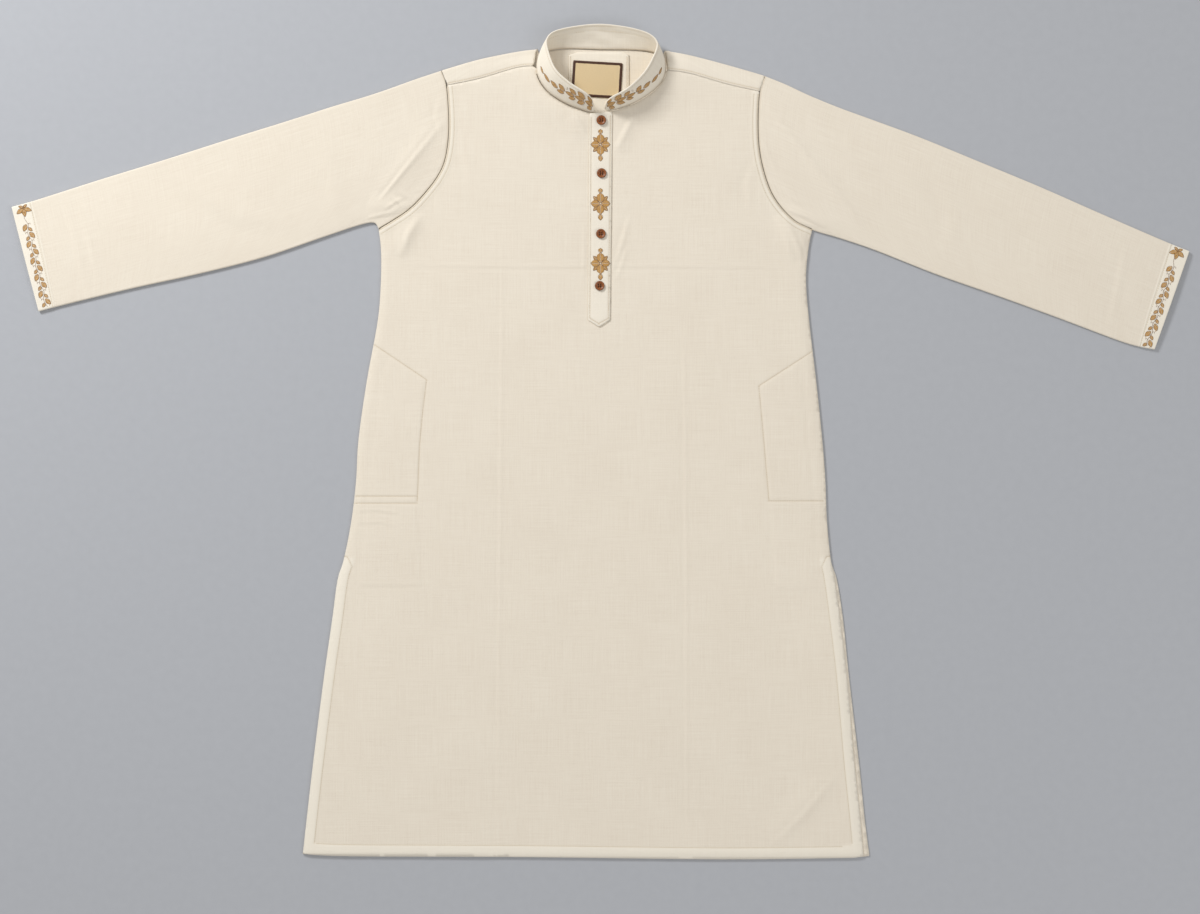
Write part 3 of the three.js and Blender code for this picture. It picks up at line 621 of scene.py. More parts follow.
back_stitches_at = hem_runs(back_right_side, hem_line)
back_outline = np.vstack((
    hem_line[:-1], back_right_side, arm_right[(arm_right[:, 1] > 813) & (arm_right[:, 1] < YOKE_BACK_SEAM)],
    [(203, YOKE_BACK_SEAM - SEAM_GAP), (-195, YOKE_BACK_SEAM - SEAM_GAP)],
    arm_left[(arm_left[:, 1] > 813) & (arm_left[:, 1] < YOKE_BACK_SEAM)][::-1], left_side[::-1][:-1]))


def back_place(x, y, out):
    return np.column_stack((x, y, np.maximum(0.02, CLOTH / 2 - out)))


def back_relief(x, y):
    """The face lies on the surface, so it is flat but for its stitched grooves and hem steps."""
    return -0.3 * groove(x, y, back_stitches_at) - 0.12 * (1 - hem_height(x, y, back_right_side))


def body_marks(stitched, right_side, rims=()):
    def marks(x, y):
        # seam is painted shade in the stitched grooves.
        return {"double": 0.8 * hem_height(x, y, right_side),
                "seam": np.clip(0.34 * groove(x, y, stitched) + 0.6 * groove(x, y, rims, 1.3), 0, 1)}
    return marks


back = remember(cut_cloth("back_cloth", back_outline, back_place, back_relief,
                          body_marks(back_stitches_at, back_right_side), body_cotton,
                          rails=back_stitches_at, step=4.0))
back_stitches = sew("back_stitches", rows_on("back_cloth", back_stitches_at), 3)
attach(back, "root")
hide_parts("back_panel")


# The pocket bags: two plain pieces of the same cotton that hang inside from the side seams. They lie
# between the back and the front, and the front is stitched through them.
BAGS = {
    "left": [(-272, 648), (-224, 618), (-229, 577), (-235, 460), (-228, 350), (-313, 350), (-297, 489),
             (-283, 618)],
    "right": [(255, 641), (204, 610), (211, 534), (217, 463), (224, 347), (280, 347), (272, 489),
              (260, 618)],
}


def level_place(level):
    """Puts a flat cut at a height, with its outer face up."""
    def place(x, y, out):
        return np.column_stack((x, y, level + CLOTH / 2 + out))
    return place


def plain(x, y):
    return np.zeros(np.shape(x))


def no_marks(x, y):
    return {"double": plain(x, y), "seam": plain(x, y)}


for side, outline in BAGS.items():
    bag = cut_cloth(f"pocket_cloth_{side}", np.array(outline, float), level_place(LAYER), plain, no_marks,
                    body_cotton, step=9.0)
    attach(bag, "root")
    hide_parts(f"pocket_bag_{side}")



# The yoke: one piece of the same cotton that lies on the back, turns over both shoulders and comes
# down to a stitched seam on the front. It is cut flat, so it is laid out flat here and then folded.
FOLD_RADIUS = (FRONT_LEVEL + CLOTH) / 2
MID_RADIUS = FOLD_RADIUS - CLOTH / 2
NECK_CENTRE_Y = 1008
NECK_HALF_WIDTH = 83
NECK_HALF_DEPTH = 46
NECK_LIFT = 3.2
NECK_LIFT_REACH = 26
BAND_CLEARANCE = 1.7

# x, y of the shoulder fold, and how far down the front the seam lies
SHOULDERS = np.array([
    (-226, 1011, 21), (-205, 1017, 21), (-157, 1031, 25), (-108, 1041, 21), (-84, 1044, 22),
    (-70, 1045, 22),
    (72, 1043, 26), (92, 1041, 25), (118, 1036, 24), (164, 1024, 25), (212, 1010, 22), (232, 1003, 22),
], float)
# the collar band's seam edge and top edge, from its left front end round the back to the right one
BAND = np.array([
    (-9, 963, 5.6, -8, 968, 10), (-12, 963, 5.8, -10.5, 976, 24), (-22, 965.5, 6, -18.5, 983.5, 33),
    (-45, 974.5, 6, -39, 996.5, 35), (-68, 990, 5.8, -56.5, 1013, 33.5), (-81, 1012, 4.8, -65.5, 1034, 29),
    (-78, 1035, 3.2, -68, 1054.5, 24), (-55, 1044.5, 1.8, -51.5, 1067, 20), (0, 1044, 1.5, 0, 1074, 18),
    (57, 1042.5, 1.8, 52, 1065.5, 20), (80, 1034, 3.2, 72, 1050, 24), (83, 1012, 4.8, 65.5, 1027, 29.5),
    (71, 993.5, 5.8, 53.5, 1007.5, 33.5), (47, 977, 6, 34, 989, 35), (23, 967.5, 6, 14.5, 978.5, 32),
    (12, 965, 5.8, 7.5, 973, 23), (8, 964.5, 5.6, 5, 967.5, 10),
], float)
shoulder_rows = smooth(SHOULDERS, 90)
yoke_seam = shoulder_rows[:, :2] - np.column_stack((np.zeros(90), shoulder_rows[:, 2]))
neck_ring = smooth(BAND, 160)[:, :2]
neck_out = (neck_ring - (0, NECK_CENTRE_Y)) / (NECK_HALF_WIDTH, NECK_HALF_DEPTH)
neck_out /= np.hypot(*neck_out.T)[:, None]
neck_edge = neck_ring + neck_out * (BAND_CLEARANCE + 1.9 * ease(neck_ring[:, 1:], 1020, 1038))


def fold_y(x):
    return np.interp(x, *shoulder_rows[:, :2].T)


def neck_lift(x, y):
    """The front layer rises to meet the standing collar."""
    distance = np.hypot(x / NECK_HALF_WIDTH, (y - NECK_CENTRE_Y) / NECK_HALF_DEPTH) - 1
    distance = np.maximum(0, distance) * (NECK_HALF_WIDTH + NECK_HALF_DEPTH) / 2
    towards_back = 1 - ease(y, NECK_CENTRE_Y + 8, NECK_CENTRE_Y + 34)
    return NECK_LIFT * np.exp(-((distance / NECK_LIFT_REACH) ** 2)) * towards_back


def over_shoulder(x, y):
    """How far up the flat cut a spot on the front leg of the yoke lies."""
    turn = fold_y(x) - FOLD_RADIUS
    return 2 * turn + math.pi * MID_RADIUS - y


def yoke_place(x, t, out):
    turn = fold_y(x) - FOLD_RADIUS
    arc = np.clip((t - turn) / MID_RADIUS, 0, math.pi)
    angle = arc - math.pi / 2
    down = np.maximum(0, t - turn - math.pi * MID_RADIUS)
    y = np.where(t < turn, t, turn + (MID_RADIUS + out) * np.cos(angle) - down)
    lift = np.minimum(1, down / (4 * FOLD_RADIUS)) * neck_lift(x, y)
    z = FOLD_RADIUS + (MID_RADIUS + out) * np.sin(angle) + lift
    return np.column_stack((x, y, np.maximum(0.02, z)))


def seam_over(half):
    return np.column_stack((half[:, 0], over_shoulder(*half.T)))


arm_x_left, arm_x_right = -196.5, 205.2
seam_left = yoke_seam[(yoke_seam[:, 0] > arm_x_left) & (yoke_seam[:, 0] < -86)]
seam_right = yoke_seam[(yoke_seam[:, 0] > 86) & (yoke_seam[:, 0] < arm_x_right)]
back_neck = neck_ring[(neck_ring[:, 1] > 1034)] - (0, 2 * SEAM_GAP)
yoke_outline = np.vstack((
    [(-195, YOKE_BACK_SEAM), (203, YOKE_BACK_SEAM)],
    arm_right[arm_right[:, 1] > YOKE_BACK_SEAM + 2],
    [(208.5, over_shoulder(208.5, 998.0))], [(arm_x_right, over_shoulder(arm_x_right, 989.5))],
    seam_over(seam_right[::-1]), [(86.5, over_shoulder(86.5, 1026.0)), (85.0, over_shoulder(85.0, 1037.0))],
    back_neck[::-1],
    [(-83.5, over_shoulder(-83.5, 1037.0)), (-84.5, over_shoulder(-84.5, 1028.0))],
    seam_over(seam_left[::-1]), [(arm_x_left, over_shoulder(arm_x_left, 998.0))],
    [(-200.5, over_shoulder(-200.5, 1006.0))], arm_left[arm_left[:, 1] > YOKE_BACK_SEAM + 2][::-1]))
yoke_seam_at = [seam_over(beside(half, 2.6)) for half in (seam_left, seam_right)]
yoke_back_row = [np.array([(-190, YOKE_BACK_SEAM + 3.0), (198, YOKE_BACK_SEAM + 3.0)])]
shoulder_rails = [np.column_stack((xs, fold_y(xs) - FOLD_RADIUS + math.pi * MID_RADIUS * 0.5))
                  for xs in (np.linspace(-203, -84, 60), np.linspace(84, 210, 60))]


def yoke_relief(x, t):
    front = ease(t - fold_y(x), 6, 14)
    return -0.3 * groove(x, t, yoke_seam_at) + front * (waves(x, t, 0.16) + 0.15) - 0.1 * (1 - front)


def yoke_marks(x, t):
    # seam is painted shade in the stitch grooves and along the back seam row.
    return {"double": 0.25 * ease(t - fold_y(x), 0, 8),
            "seam": 0.3 * groove(x, t, yoke_seam_at + yoke_back_row)}


yoke = remember(cut_cloth("yoke_cloth", yoke_outline, yoke_place, yoke_relief, yoke_marks, body_cotton,
                          rails=yoke_seam_at + shoulder_rails + yoke_back_row, step=2.6, under_step=3.0))
yoke_stitches = sew("yoke_stitches", rows_on("yoke_cloth", [beside(half, 2.6)
                                                            for half in (seam_left, seam_right)]), 5)
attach(yoke, "root")
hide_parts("yoke")


# The front panel: the same cotton, from the yoke's seams to the hem, slit for the placket. It lies on
# the back and the pocket bags, is rolled down at its side seams and keeps the marks of its folding.
SLOT = {"left": -11, "right": 10, "foot": 712}
BODY_FOLDS = [
    ([(-235, 836), (-262, 776)], 12, 2.6), ([(230, 832), (258, 772)], 13, 3.0),
    ([(42, 958), (20, 905)], 10, 1.4),
    ([(-40, 958), (-24, 925)], 10, 1.2), ([(306, 118), (215, 18)], 16, 1.6),
]
FRONT_CREASES = [
    ([(-128, 811), (-131, 420), (-134, 3)], 2.4, 0.42, 0.3), ([(106, 708), (109, 380), (110, 3)], 2.4,
                                                              0.42, 0.3),
    ([(-261, 764), (-100, 762), (70, 763), (242, 761)], 2.8, 0.32, 0.3),
    ([(301, 111), (262, 62), (222, 22)], 5, 0.5, 0.3),
    ([(35, 827), (26, 795), (19, 768)], 3.5, 0.7, 0.4), ([(33, 790), (19, 748)], 3.0, 0.5, 0.4),
    ([(-23, 815), (-24, 746)], 2.6, 0.35, 0.25), ([(42, 961), (30, 938), (19, 916)], 4.0, 0.9, 0.45),
    ([(-39, 961), (-28, 948), (-20, 935)], 3.6, 0.7, 0.35), ([(-62, 960), (-48, 930)], 6.0, 0.4, 0.2),
    ([(233, 826), (248, 800), (259, 770)], 4.5, 1.1, 0.5), ([(218, 838), (236, 806), (243, 778)], 4.0,
                                                            0.5, 0.4),
    ([(250, 812), (262, 790), (265, 768)], 3.2, 0.5, 0.4), ([(-235, 831), (-250, 806), (-260, 778)], 5.0,
                                                            0.9, 0.45),
    ([(-317, 447), (-290, 449), (-259, 444)], 2.6, 0.3, 0.3), ([(-316, 432), (-284, 433), (-262, 428)],
                                                               2.6, 0.28, 0.25),
    ([(-190, 930), (-176, 905), (-172, 870)], 6.0, 0.35, 0.3), ([(196, 900), (186, 870), (190, 840)], 6.0,
                                                                0.3, 0.3),
]
POCKET_ROWS = [
    [(-291, 663), (-224, 618), (-229, 577), (-233, 534), (-236, 462)], [(-236, 468), (-315, 468)],
    [(-236, 459), (-317, 459)],
    [(272, 654), (204, 610), (211, 534), (217, 463)], [(217, 462), (286, 462)],
]
POCKET_FOOT = [[(-235, 455), (-231, 352)], [(218, 455), (223, 350)], [(-231, 351), (-300, 351)]]
ARM_BAND = 8.0
half_left = arm_left[arm_left[:, 1] < 997]
half_right = arm_right[arm_right[:, 1] < 989]
front_rim_low = np.vstack((hem_line[:-1], front_right_side, half_right[half_right[:, 1] > 813]))
front_neck = neck_edge[(neck_edge[:, 1] < 1017) & (np.abs(neck_edge[:, 0]) > 10.5)]
neck_right = front_neck[front_neck[:, 0] > 0][::-1]
neck_left = front_neck[front_neck[:, 0] < 0][::-1]
front_outline = np.vstack((
    front_rim_low, [(arm_x_right, 989.0)], seam_right[::-1] - (0, SEAM_GAP), [(86.2, 1016.0)],
    neck_right[neck_right[:, 1] < 1014],
    [(SLOT["right"], 963.5), (SLOT["right"], SLOT["foot"]), (SLOT["left"], SLOT["foot"]),
     (SLOT["left"], 961.8)],
    neck_left[neck_left[:, 1] < 1014], [(-84.8, 1020.5)], seam_left[::-1] - (0, SEAM_GAP),
    [(arm_x_left, 997.5)], half_left[half_left[:, 1] > 813][::-1], left_side[::-1][:-1]))
arm_rows = [beside(half_left, -1.6), beside(half_left, -ARM_BAND + 1.2),
            beside(half_right, 1.6), beside(half_right, ARM_BAND - 1.2)]
front_stitches_at = hem_runs(front_right_side, hem_line) + arm_rows + [np.array(r, float)
        for r in POCKET_ROWS]


def soft_folds(x, y, table):
    height = np.zeros(np.shape(x))
    for run, width, size in table:
        side, along = across(x, y, run)
        height += size * np.exp(-((side / width) ** 2)) * np.sin(math.pi * along)
    return height


def front_height(x, y):
    """The underside of the front layer, as it rolls down at the sides and rises to the collar."""
    from_side = np.minimum(x - np.interp(y, left_side[:, 1], left_side[:, 0]),
                           np.interp(y, front_right_side[:, 1], front_right_side[:, 0]) - x)
    side_roll = (1 - ease(from_side, 0, EDGE_ROLL)) * (1 - ease(y, UNDERARM_Y, UNDERARM_Y + 2 * EDGE_ROLL))
    roll = np.maximum(side_roll, 1 - ease(y, 0, EDGE_ROLL))
    return FRONT_LEVEL - LAYER * roll + neck_lift(x, y) + soft_folds(x, y, BODY_FOLDS) * (1 - roll)


def front_place(x, y, out):
    return np.column_stack((x, y, front_height(x, y) + CLOTH / 2 + out))


def arm_band(x, y):
    """1 on the felled seam allowance beside both armholes."""
    left = -across(x, y, half_left)[0]
    right = across(x, y, half_right)[0]
    nearest = np.minimum(np.where(left > -1, left, 99), np.where(right > -1, right, 99))
    return 1 - ease(nearest, ARM_BAND, ARM_BAND + 1.3)


def bag_under(x, y):
    """1 where a pocket bag lies under the cloth."""
    spots = np.column_stack((x, y))
    found = np.zeros(np.shape(x))
    for outline in BAGS.values():
        rim = np.array(outline, float)
        distance = np.abs(across(x, y, np.vstack((rim, rim[:1])))[0])
        found = np.maximum(found, inside(spots, rim) * ease(distance, 0, 4))
    return found


def front_relief(x, y):
    under_placket = (1 - ease(np.abs(x + 1), 14, 20)) * ease(y, 680, 694)
    height = (creases(x, y, FRONT_CREASES) + waves(x, y, 0.17) + 0.34 * bag_under(x, y)
              - 0.12 * groove(x, y, [np.array(r, float) for r in POCKET_FOOT], 1.6)
              + 0.45 * hem_height(x, y, front_right_side) + 0.5 * arm_band(x, y))
    height = np.clip(height, -0.55, 3) - 0.42 * groove(x, y, front_stitches_at)
    return height * (1 - under_placket) - 0.1 * under_placket


def front_marks(x, y):
    # seam is painted shade in the stitch grooves, at the armhole joins and in the gap at the collar band.
    seams = groove(x, y, front_stitches_at, 0.8)
    joins = groove(x, y, [half_left, half_right], 1.2)
    neck = groove(x, y, [front_neck], 1.6)
    return {"double": np.maximum(0.8 * hem_height(x, y, front_right_side), 0.5 * arm_band(x, y)),
            "seam": np.clip(0.34 * seams + 0.42 * joins + 0.4 * neck, 0, 1)}


front_near = [np.array(run, float) for run, *_ in FRONT_CREASES] + [np.array(r, float) for r in POCKET_FOOT]
front_near.append(np.vstack((neck_left, neck_right)))
front = remember(cut_cloth("front_cloth", front_outline, front_place, front_relief, front_marks,
                           body_cotton,
                           rails=front_stitches_at, near=front_near, step=2.5))
front_stitches = sew("front_stitches", rows_on("front_cloth", front_stitches_at), 7)
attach(front, "root")
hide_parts("front_panel")


# The embroidery: gold-brown cotton threads worked by hand in satin stitch, with a dark back-stitched
# outline. Every thread is one rounded strand from hole to hole. The layout is a generic leaf vine.
GOLD = 0.0
BROWN = 1.0
THREAD_PITCH = 0.5
THREAD_HEIGHT = 0.42
THREAD_LIFT = 0.12
THREAD_TUCK = 1.12
LEAF_PITCH = 11
STEM_SWAY = 1.5
BUNCH_REACH = 16


def thread_tree():
    """One satin thread at every point, from hole to hole along its own vector."""
    tree = node_tree("satin_threads", [("Thread Height", "NodeSocketFloat"),
                                       ("Material", "NodeSocketMaterial")])
    graph = Graph(tree)
    start = graph.node("NodeGroupInput")
    along, up = (graph.node("GeometryNodeInputNamedAttribute", {"data_type": "FLOAT_VECTOR"},
                            {"Name": name})
                 for name in ("along", "up"))
    width = graph.node("GeometryNodeInputNamedAttribute", {"data_type": "FLOAT"}, {"Name": "width"})
    turn = graph.node("FunctionNodeAxesToRotation", {"primary_axis": "Z", "secondary_axis": "Y"},
                      {"Primary Axis": along, "Secondary Axis": up})
    length = graph.node("ShaderNodeVectorMath", {"operation": "LENGTH"}, {0: along}, 1)
    size = graph.node("ShaderNodeCombineXYZ", {}, {0: width, 1: start.other("Thread Height"), 2: length})
    thread = graph.node("GeometryNodeMeshUVSphere", {}, {"Segments": 6, "Rings": 4, "Radius": 0.5})
    instances = graph.node("GeometryNodeInstanceOnPoints", {},
                           {"Points": start, "Instance": thread, "Rotation": turn, "Scale": size})
    finish_tree(graph, instances, start.other("Material"))
    return tree


satin_threads = thread_tree()
embroidery_thread, graph, shader = finish_named("embroidery_thread", Roughness=0.5, Sheen_Weight=0.3)
tone = graph.node("ShaderNodeAttribute", {"attribute_name": "tone"}, output="Fac")
shine = graph.noise(graph.node("ShaderNodeTexCoord", output=3), (300.0, 300.0, 300.0), 2.0)
gold = graph.mix(shine, srgb(186, 138, 70), srgb(212, 168, 102))
brown = graph.mix(shine, srgb(92, 54, 20), srgb(122, 78, 36))
graph.feed(shader.inputs["Base Color"], graph.mix(tone, gold, brown))


def strokes_along(points, tone, width=0.45, stitch=1.3):
    """Back stitches along a run: rows of start, end, tone and width."""
    run = even(np.array(points, float), stitch)
    return np.column_stack((run[:-1], run[1:], np.full(len(run) - 1, tone), np.full(len(run) - 1, width)))


def leaf(u, v, angle, length, width, tone=GOLD):
    """A pointed leaf: slanting satin threads either side of its vein, and a dark outline."""
    t = (np.arange(int(length / THREAD_PITCH)) + 0.5) * THREAD_PITCH / length
    half = width / 2 * np.sin(math.pi * t ** 0.85)
    rows = []
    for side in (1, -1):
        tip = np.minimum(t * length + 0.55 * half, length)
        rows.append(np.column_stack((t * length, 0 * t + 0.15 * side, tip, side * half, 0 * t + tone,
                                     0 * t + 0.62)))
        t_edge = np.linspace(0, 1, 24)
        edge = width / 2 * np.sin(math.pi * t_edge ** 0.85) + 0.25
        edge[[0, -1]] = 0
        rows.append(strokes_along(np.column_stack((t_edge * length * 1.06, side * edge)), BROWN, 0.5, 1.2))
    rows = np.vstack(rows)
    c, s = math.cos(math.radians(angle)), math.sin(math.radians(angle))
    for k in (0, 2):
        along, off = rows[:, k].copy(), rows[:, k + 1].copy()
        rows[:, k] = u + c * along - s * off
        rows[:, k + 1] = v + s * along + c * off
    return rows


def curl(u, v, size, start, sweep):
    """A comma-shaped tendril."""
    t = np.linspace(0, 1, 12)
    turn = np.radians(start + sweep * t)
    reach = size * (1 - 0.55 * t)
    return strokes_along(np.column_stack((u + reach * np.cos(turn), v + reach * np.sin(turn))), BROWN,
                         0.45, 0.9)


def vine(length):
    """A wavy stem with pointed leaves on alternate sides, tendrils and dots, and a bunch at its start."""
    u = np.linspace(2, length - 2, 200)
    rows = [strokes_along(np.column_stack((u, STEM_SWAY * np.sin(math.pi * u / LEAF_PITCH))), BROWN,
                          0.5, 1.5)]
    for k in range(int(length / LEAF_PITCH)):
        at = LEAF_PITCH * k + 4
        side = 1 if k % 2 else -1
        if at + 7 > length:
            break
        if at >= BUNCH_REACH:
            rows.append(leaf(at, 0.8 * side, 34 * side, 9.2, 5.4))
            rows.append(leaf(at + 5, -0.6 * side, -42 * side, 6.2, 3.6))
            rows.append(curl(at + 0.5, -3.4 * side, 1.7, 90 * side, 230 * side))
            rows.append(strokes_along([(at + 8.5, 4.6 * side), (at + 9.6, 4.6 * side)], GOLD, 1.0, 1.2))
    rows += [leaf(5, 0, angle, 10.5, 5.2) for angle in (-62, 0, 62)]
    rows += [leaf(4, 0, angle, 6.0, 3.0) for angle in (118, -118)]
    return np.vstack(rows)


def embroider(name, strokes, spot):
    """Works rows of strokes (start, end, tone, width in millimetres) on the surface that spot gives."""
    starts, ups = spot(strokes[:, 0], strokes[:, 1])
    ends, _ = spot(strokes[:, 2], strokes[:, 3])
    good = ~np.isnan(starts[:, 0] + ends[:, 0])
    starts, ends, ups, kept = starts[good], ends[good], ups[good], strokes[good]
    carrier = bpy.data.meshes.new(name)
    carrier.from_pydata(((starts + ends) / 2 + ups * THREAD_LIFT * MM).tolist(), [], [])
    for key, value, kind, field in (
            ("along", (ends - starts) * THREAD_TUCK, "FLOAT_VECTOR", "vector"),
            ("up", ups, "FLOAT_VECTOR", "vector"),
            ("tone", kept[:, 4], "FLOAT", "value"), ("width", kept[:, 5] * MM, "FLOAT", "value")):
        layer = carrier.attributes.new(key, kind, "POINT")
        layer.data.foreach_set(field, np.asarray(value, np.float32).ravel())
    piece = grown(name, carrier, satin_threads, {"Thread Height": THREAD_HEIGHT * MM,
                                                 "Material": embroidery_thread})
    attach(piece, "root")
    return piece


# The sleeves: each is one piece of cotton sewn into a tube and pressed flat, with its end turned up
# and stitched as a cuff. The seam allowance goes to the body, so the sleeve ends low at the armhole.
CUFF_DEPTH = 26
VINE_AT = 14.5
SLEEVES = {
    "left": {
        "fold": [(-759, 841), (-727, 850), (-646, 876), (-562, 902), (-481, 928), (-401, 953), (-345, 971),
                 (-305, 983), (-275, 993), (-239, 1006), (-205.6, 1017)],
        "under": [(-724, 706), (-690, 715), (-604, 736), (-518, 755), (-436, 776), (-357, 803), (-312, 818),
                  (-293, 821), (-286.8, 812.6)],
        "arm": arm_left[::-1] - (0.5, -0.3),
        "folds": [([(-198, 962), (-290, 845)], 11, 1.6), ([(-300, 846), (-236, 832)], 11, 2.2)],
        "creases": [
            ([(-204, 951), (-243, 903), (-285, 851)], 2.8, 1.1, 0.9),
            ([(-300, 824), (-280, 829), (-262, 832)], 3.2, 1.4, 0.9),
            ([(-273, 853), (-258, 842), (-246, 833)], 2.8, 0.9, 0.7),
            ([(-262, 858), (-244, 850)], 3.0, 0.6, 0.5),
            ([(-278, 836), (-262, 846), (-250, 852)], 2.8, 0.7, 0.5),
            ([(-206, 990), (-214, 960), (-206, 930)], 3.4, 0.4, 0.4),
            ([(-695, 858), (-680, 796), (-665, 737)], 5.0, 0.45, 0.35),
            ([(-677, 858), (-661, 796), (-646, 737)], 5.0, 0.4, 0.35),
            ([(-560, 880), (-470, 820), (-400, 812)], 14, 0.5, 0.4),
            ([(-380, 940), (-350, 880), (-345, 835)], 12, 0.45, 0.35),
        ],
        "flat": (0.62, 0.42), "area": 0.172,
    },
    "right": {
        "fold": [(759, 784), (727, 797), (644, 833), (567, 867), (490, 899), (412, 931), (350, 954),
                 (309, 969),
                 (270, 985), (240, 999), (212.6, 1010)],
        "under": [(714, 657), (676, 666), (591, 698), (512, 727), (433, 755), (355, 786), (308, 802),
                  (285, 808.6),
                  (273.8, 812.4)],
        "arm": arm_right[::-1] + (0.5, 0.3),
        "folds": [([(203, 986), (340, 816)], 11, 1.3), ([(228, 842), (312, 808)], 11, 2.0)],
        "creases": [
            ([(206, 980), (262, 908), (330, 826)], 2.8, 1.2, 0.7), ([(241, 835), (264, 826), (290, 812)],
                    3.4, 1.5, 0.9),
            ([(228, 866), (246, 848), (262, 842)], 3.0, 0.7, 0.5), ([(207, 925), (216, 905), (226, 888)],
                    3.0, 0.7, 0.5),
            ([(252, 822), (268, 816), (280, 812)], 2.8, 0.7, 0.6), ([(675, 797), (664, 740), (653, 684)],
                    5.0, 0.4, 0.3),
            ([(240, 960), (300, 910), (360, 880)], 14, 0.4, 0.3), ([(420, 900), (450, 830), (440, 780)],
                    14, 0.45, 0.4),
        ],
        "flat": (0.64, 0.42), "area": 0.172,
    },
}
SLEEVE_CROWN = 1.2
SLEEVE_STATIONS = 215
TOP_COLUMNS = 66
BOTTOM_COLUMNS = 30
FOLD_TURNS = 7


def by_length(run, marks):
    """The points of a smooth run at fractions of its length."""
    fine = smooth(np.asarray(run, float), 400)
    lengths = np.r_[0, np.cumsum(np.hypot(*np.diff(fine, axis=0).T))]
    return np.column_stack([np.interp(marks * lengths[-1], lengths, column) for column in fine.T])


def sleeve_plan(shape, s, c):
    """The plan place s of the way from cuff to armhole and c of the way from the fold to the underarm."""
    fold, under = by_length(shape["fold"], s), by_length(shape["under"], s)
    arm = by_length(shape["arm"], c)
    cuff = np.outer(1 - c, shape["fold"][0]) + np.outer(c, shape["under"][0])
    s, c = s[:, None], c[:, None]
    corners = ((1 - s) * ((1 - c) * shape["fold"][0] + c * np.array(shape["under"][0]))
               + s * ((1 - c) * arm_end(shape, 0) + c * arm_end(shape, -1)))
    return (1 - c) * fold + c * under + (1 - s) * cuff + s * arm - corners


def arm_end(shape, which):
    return np.asarray(shape["arm"], float)[which]


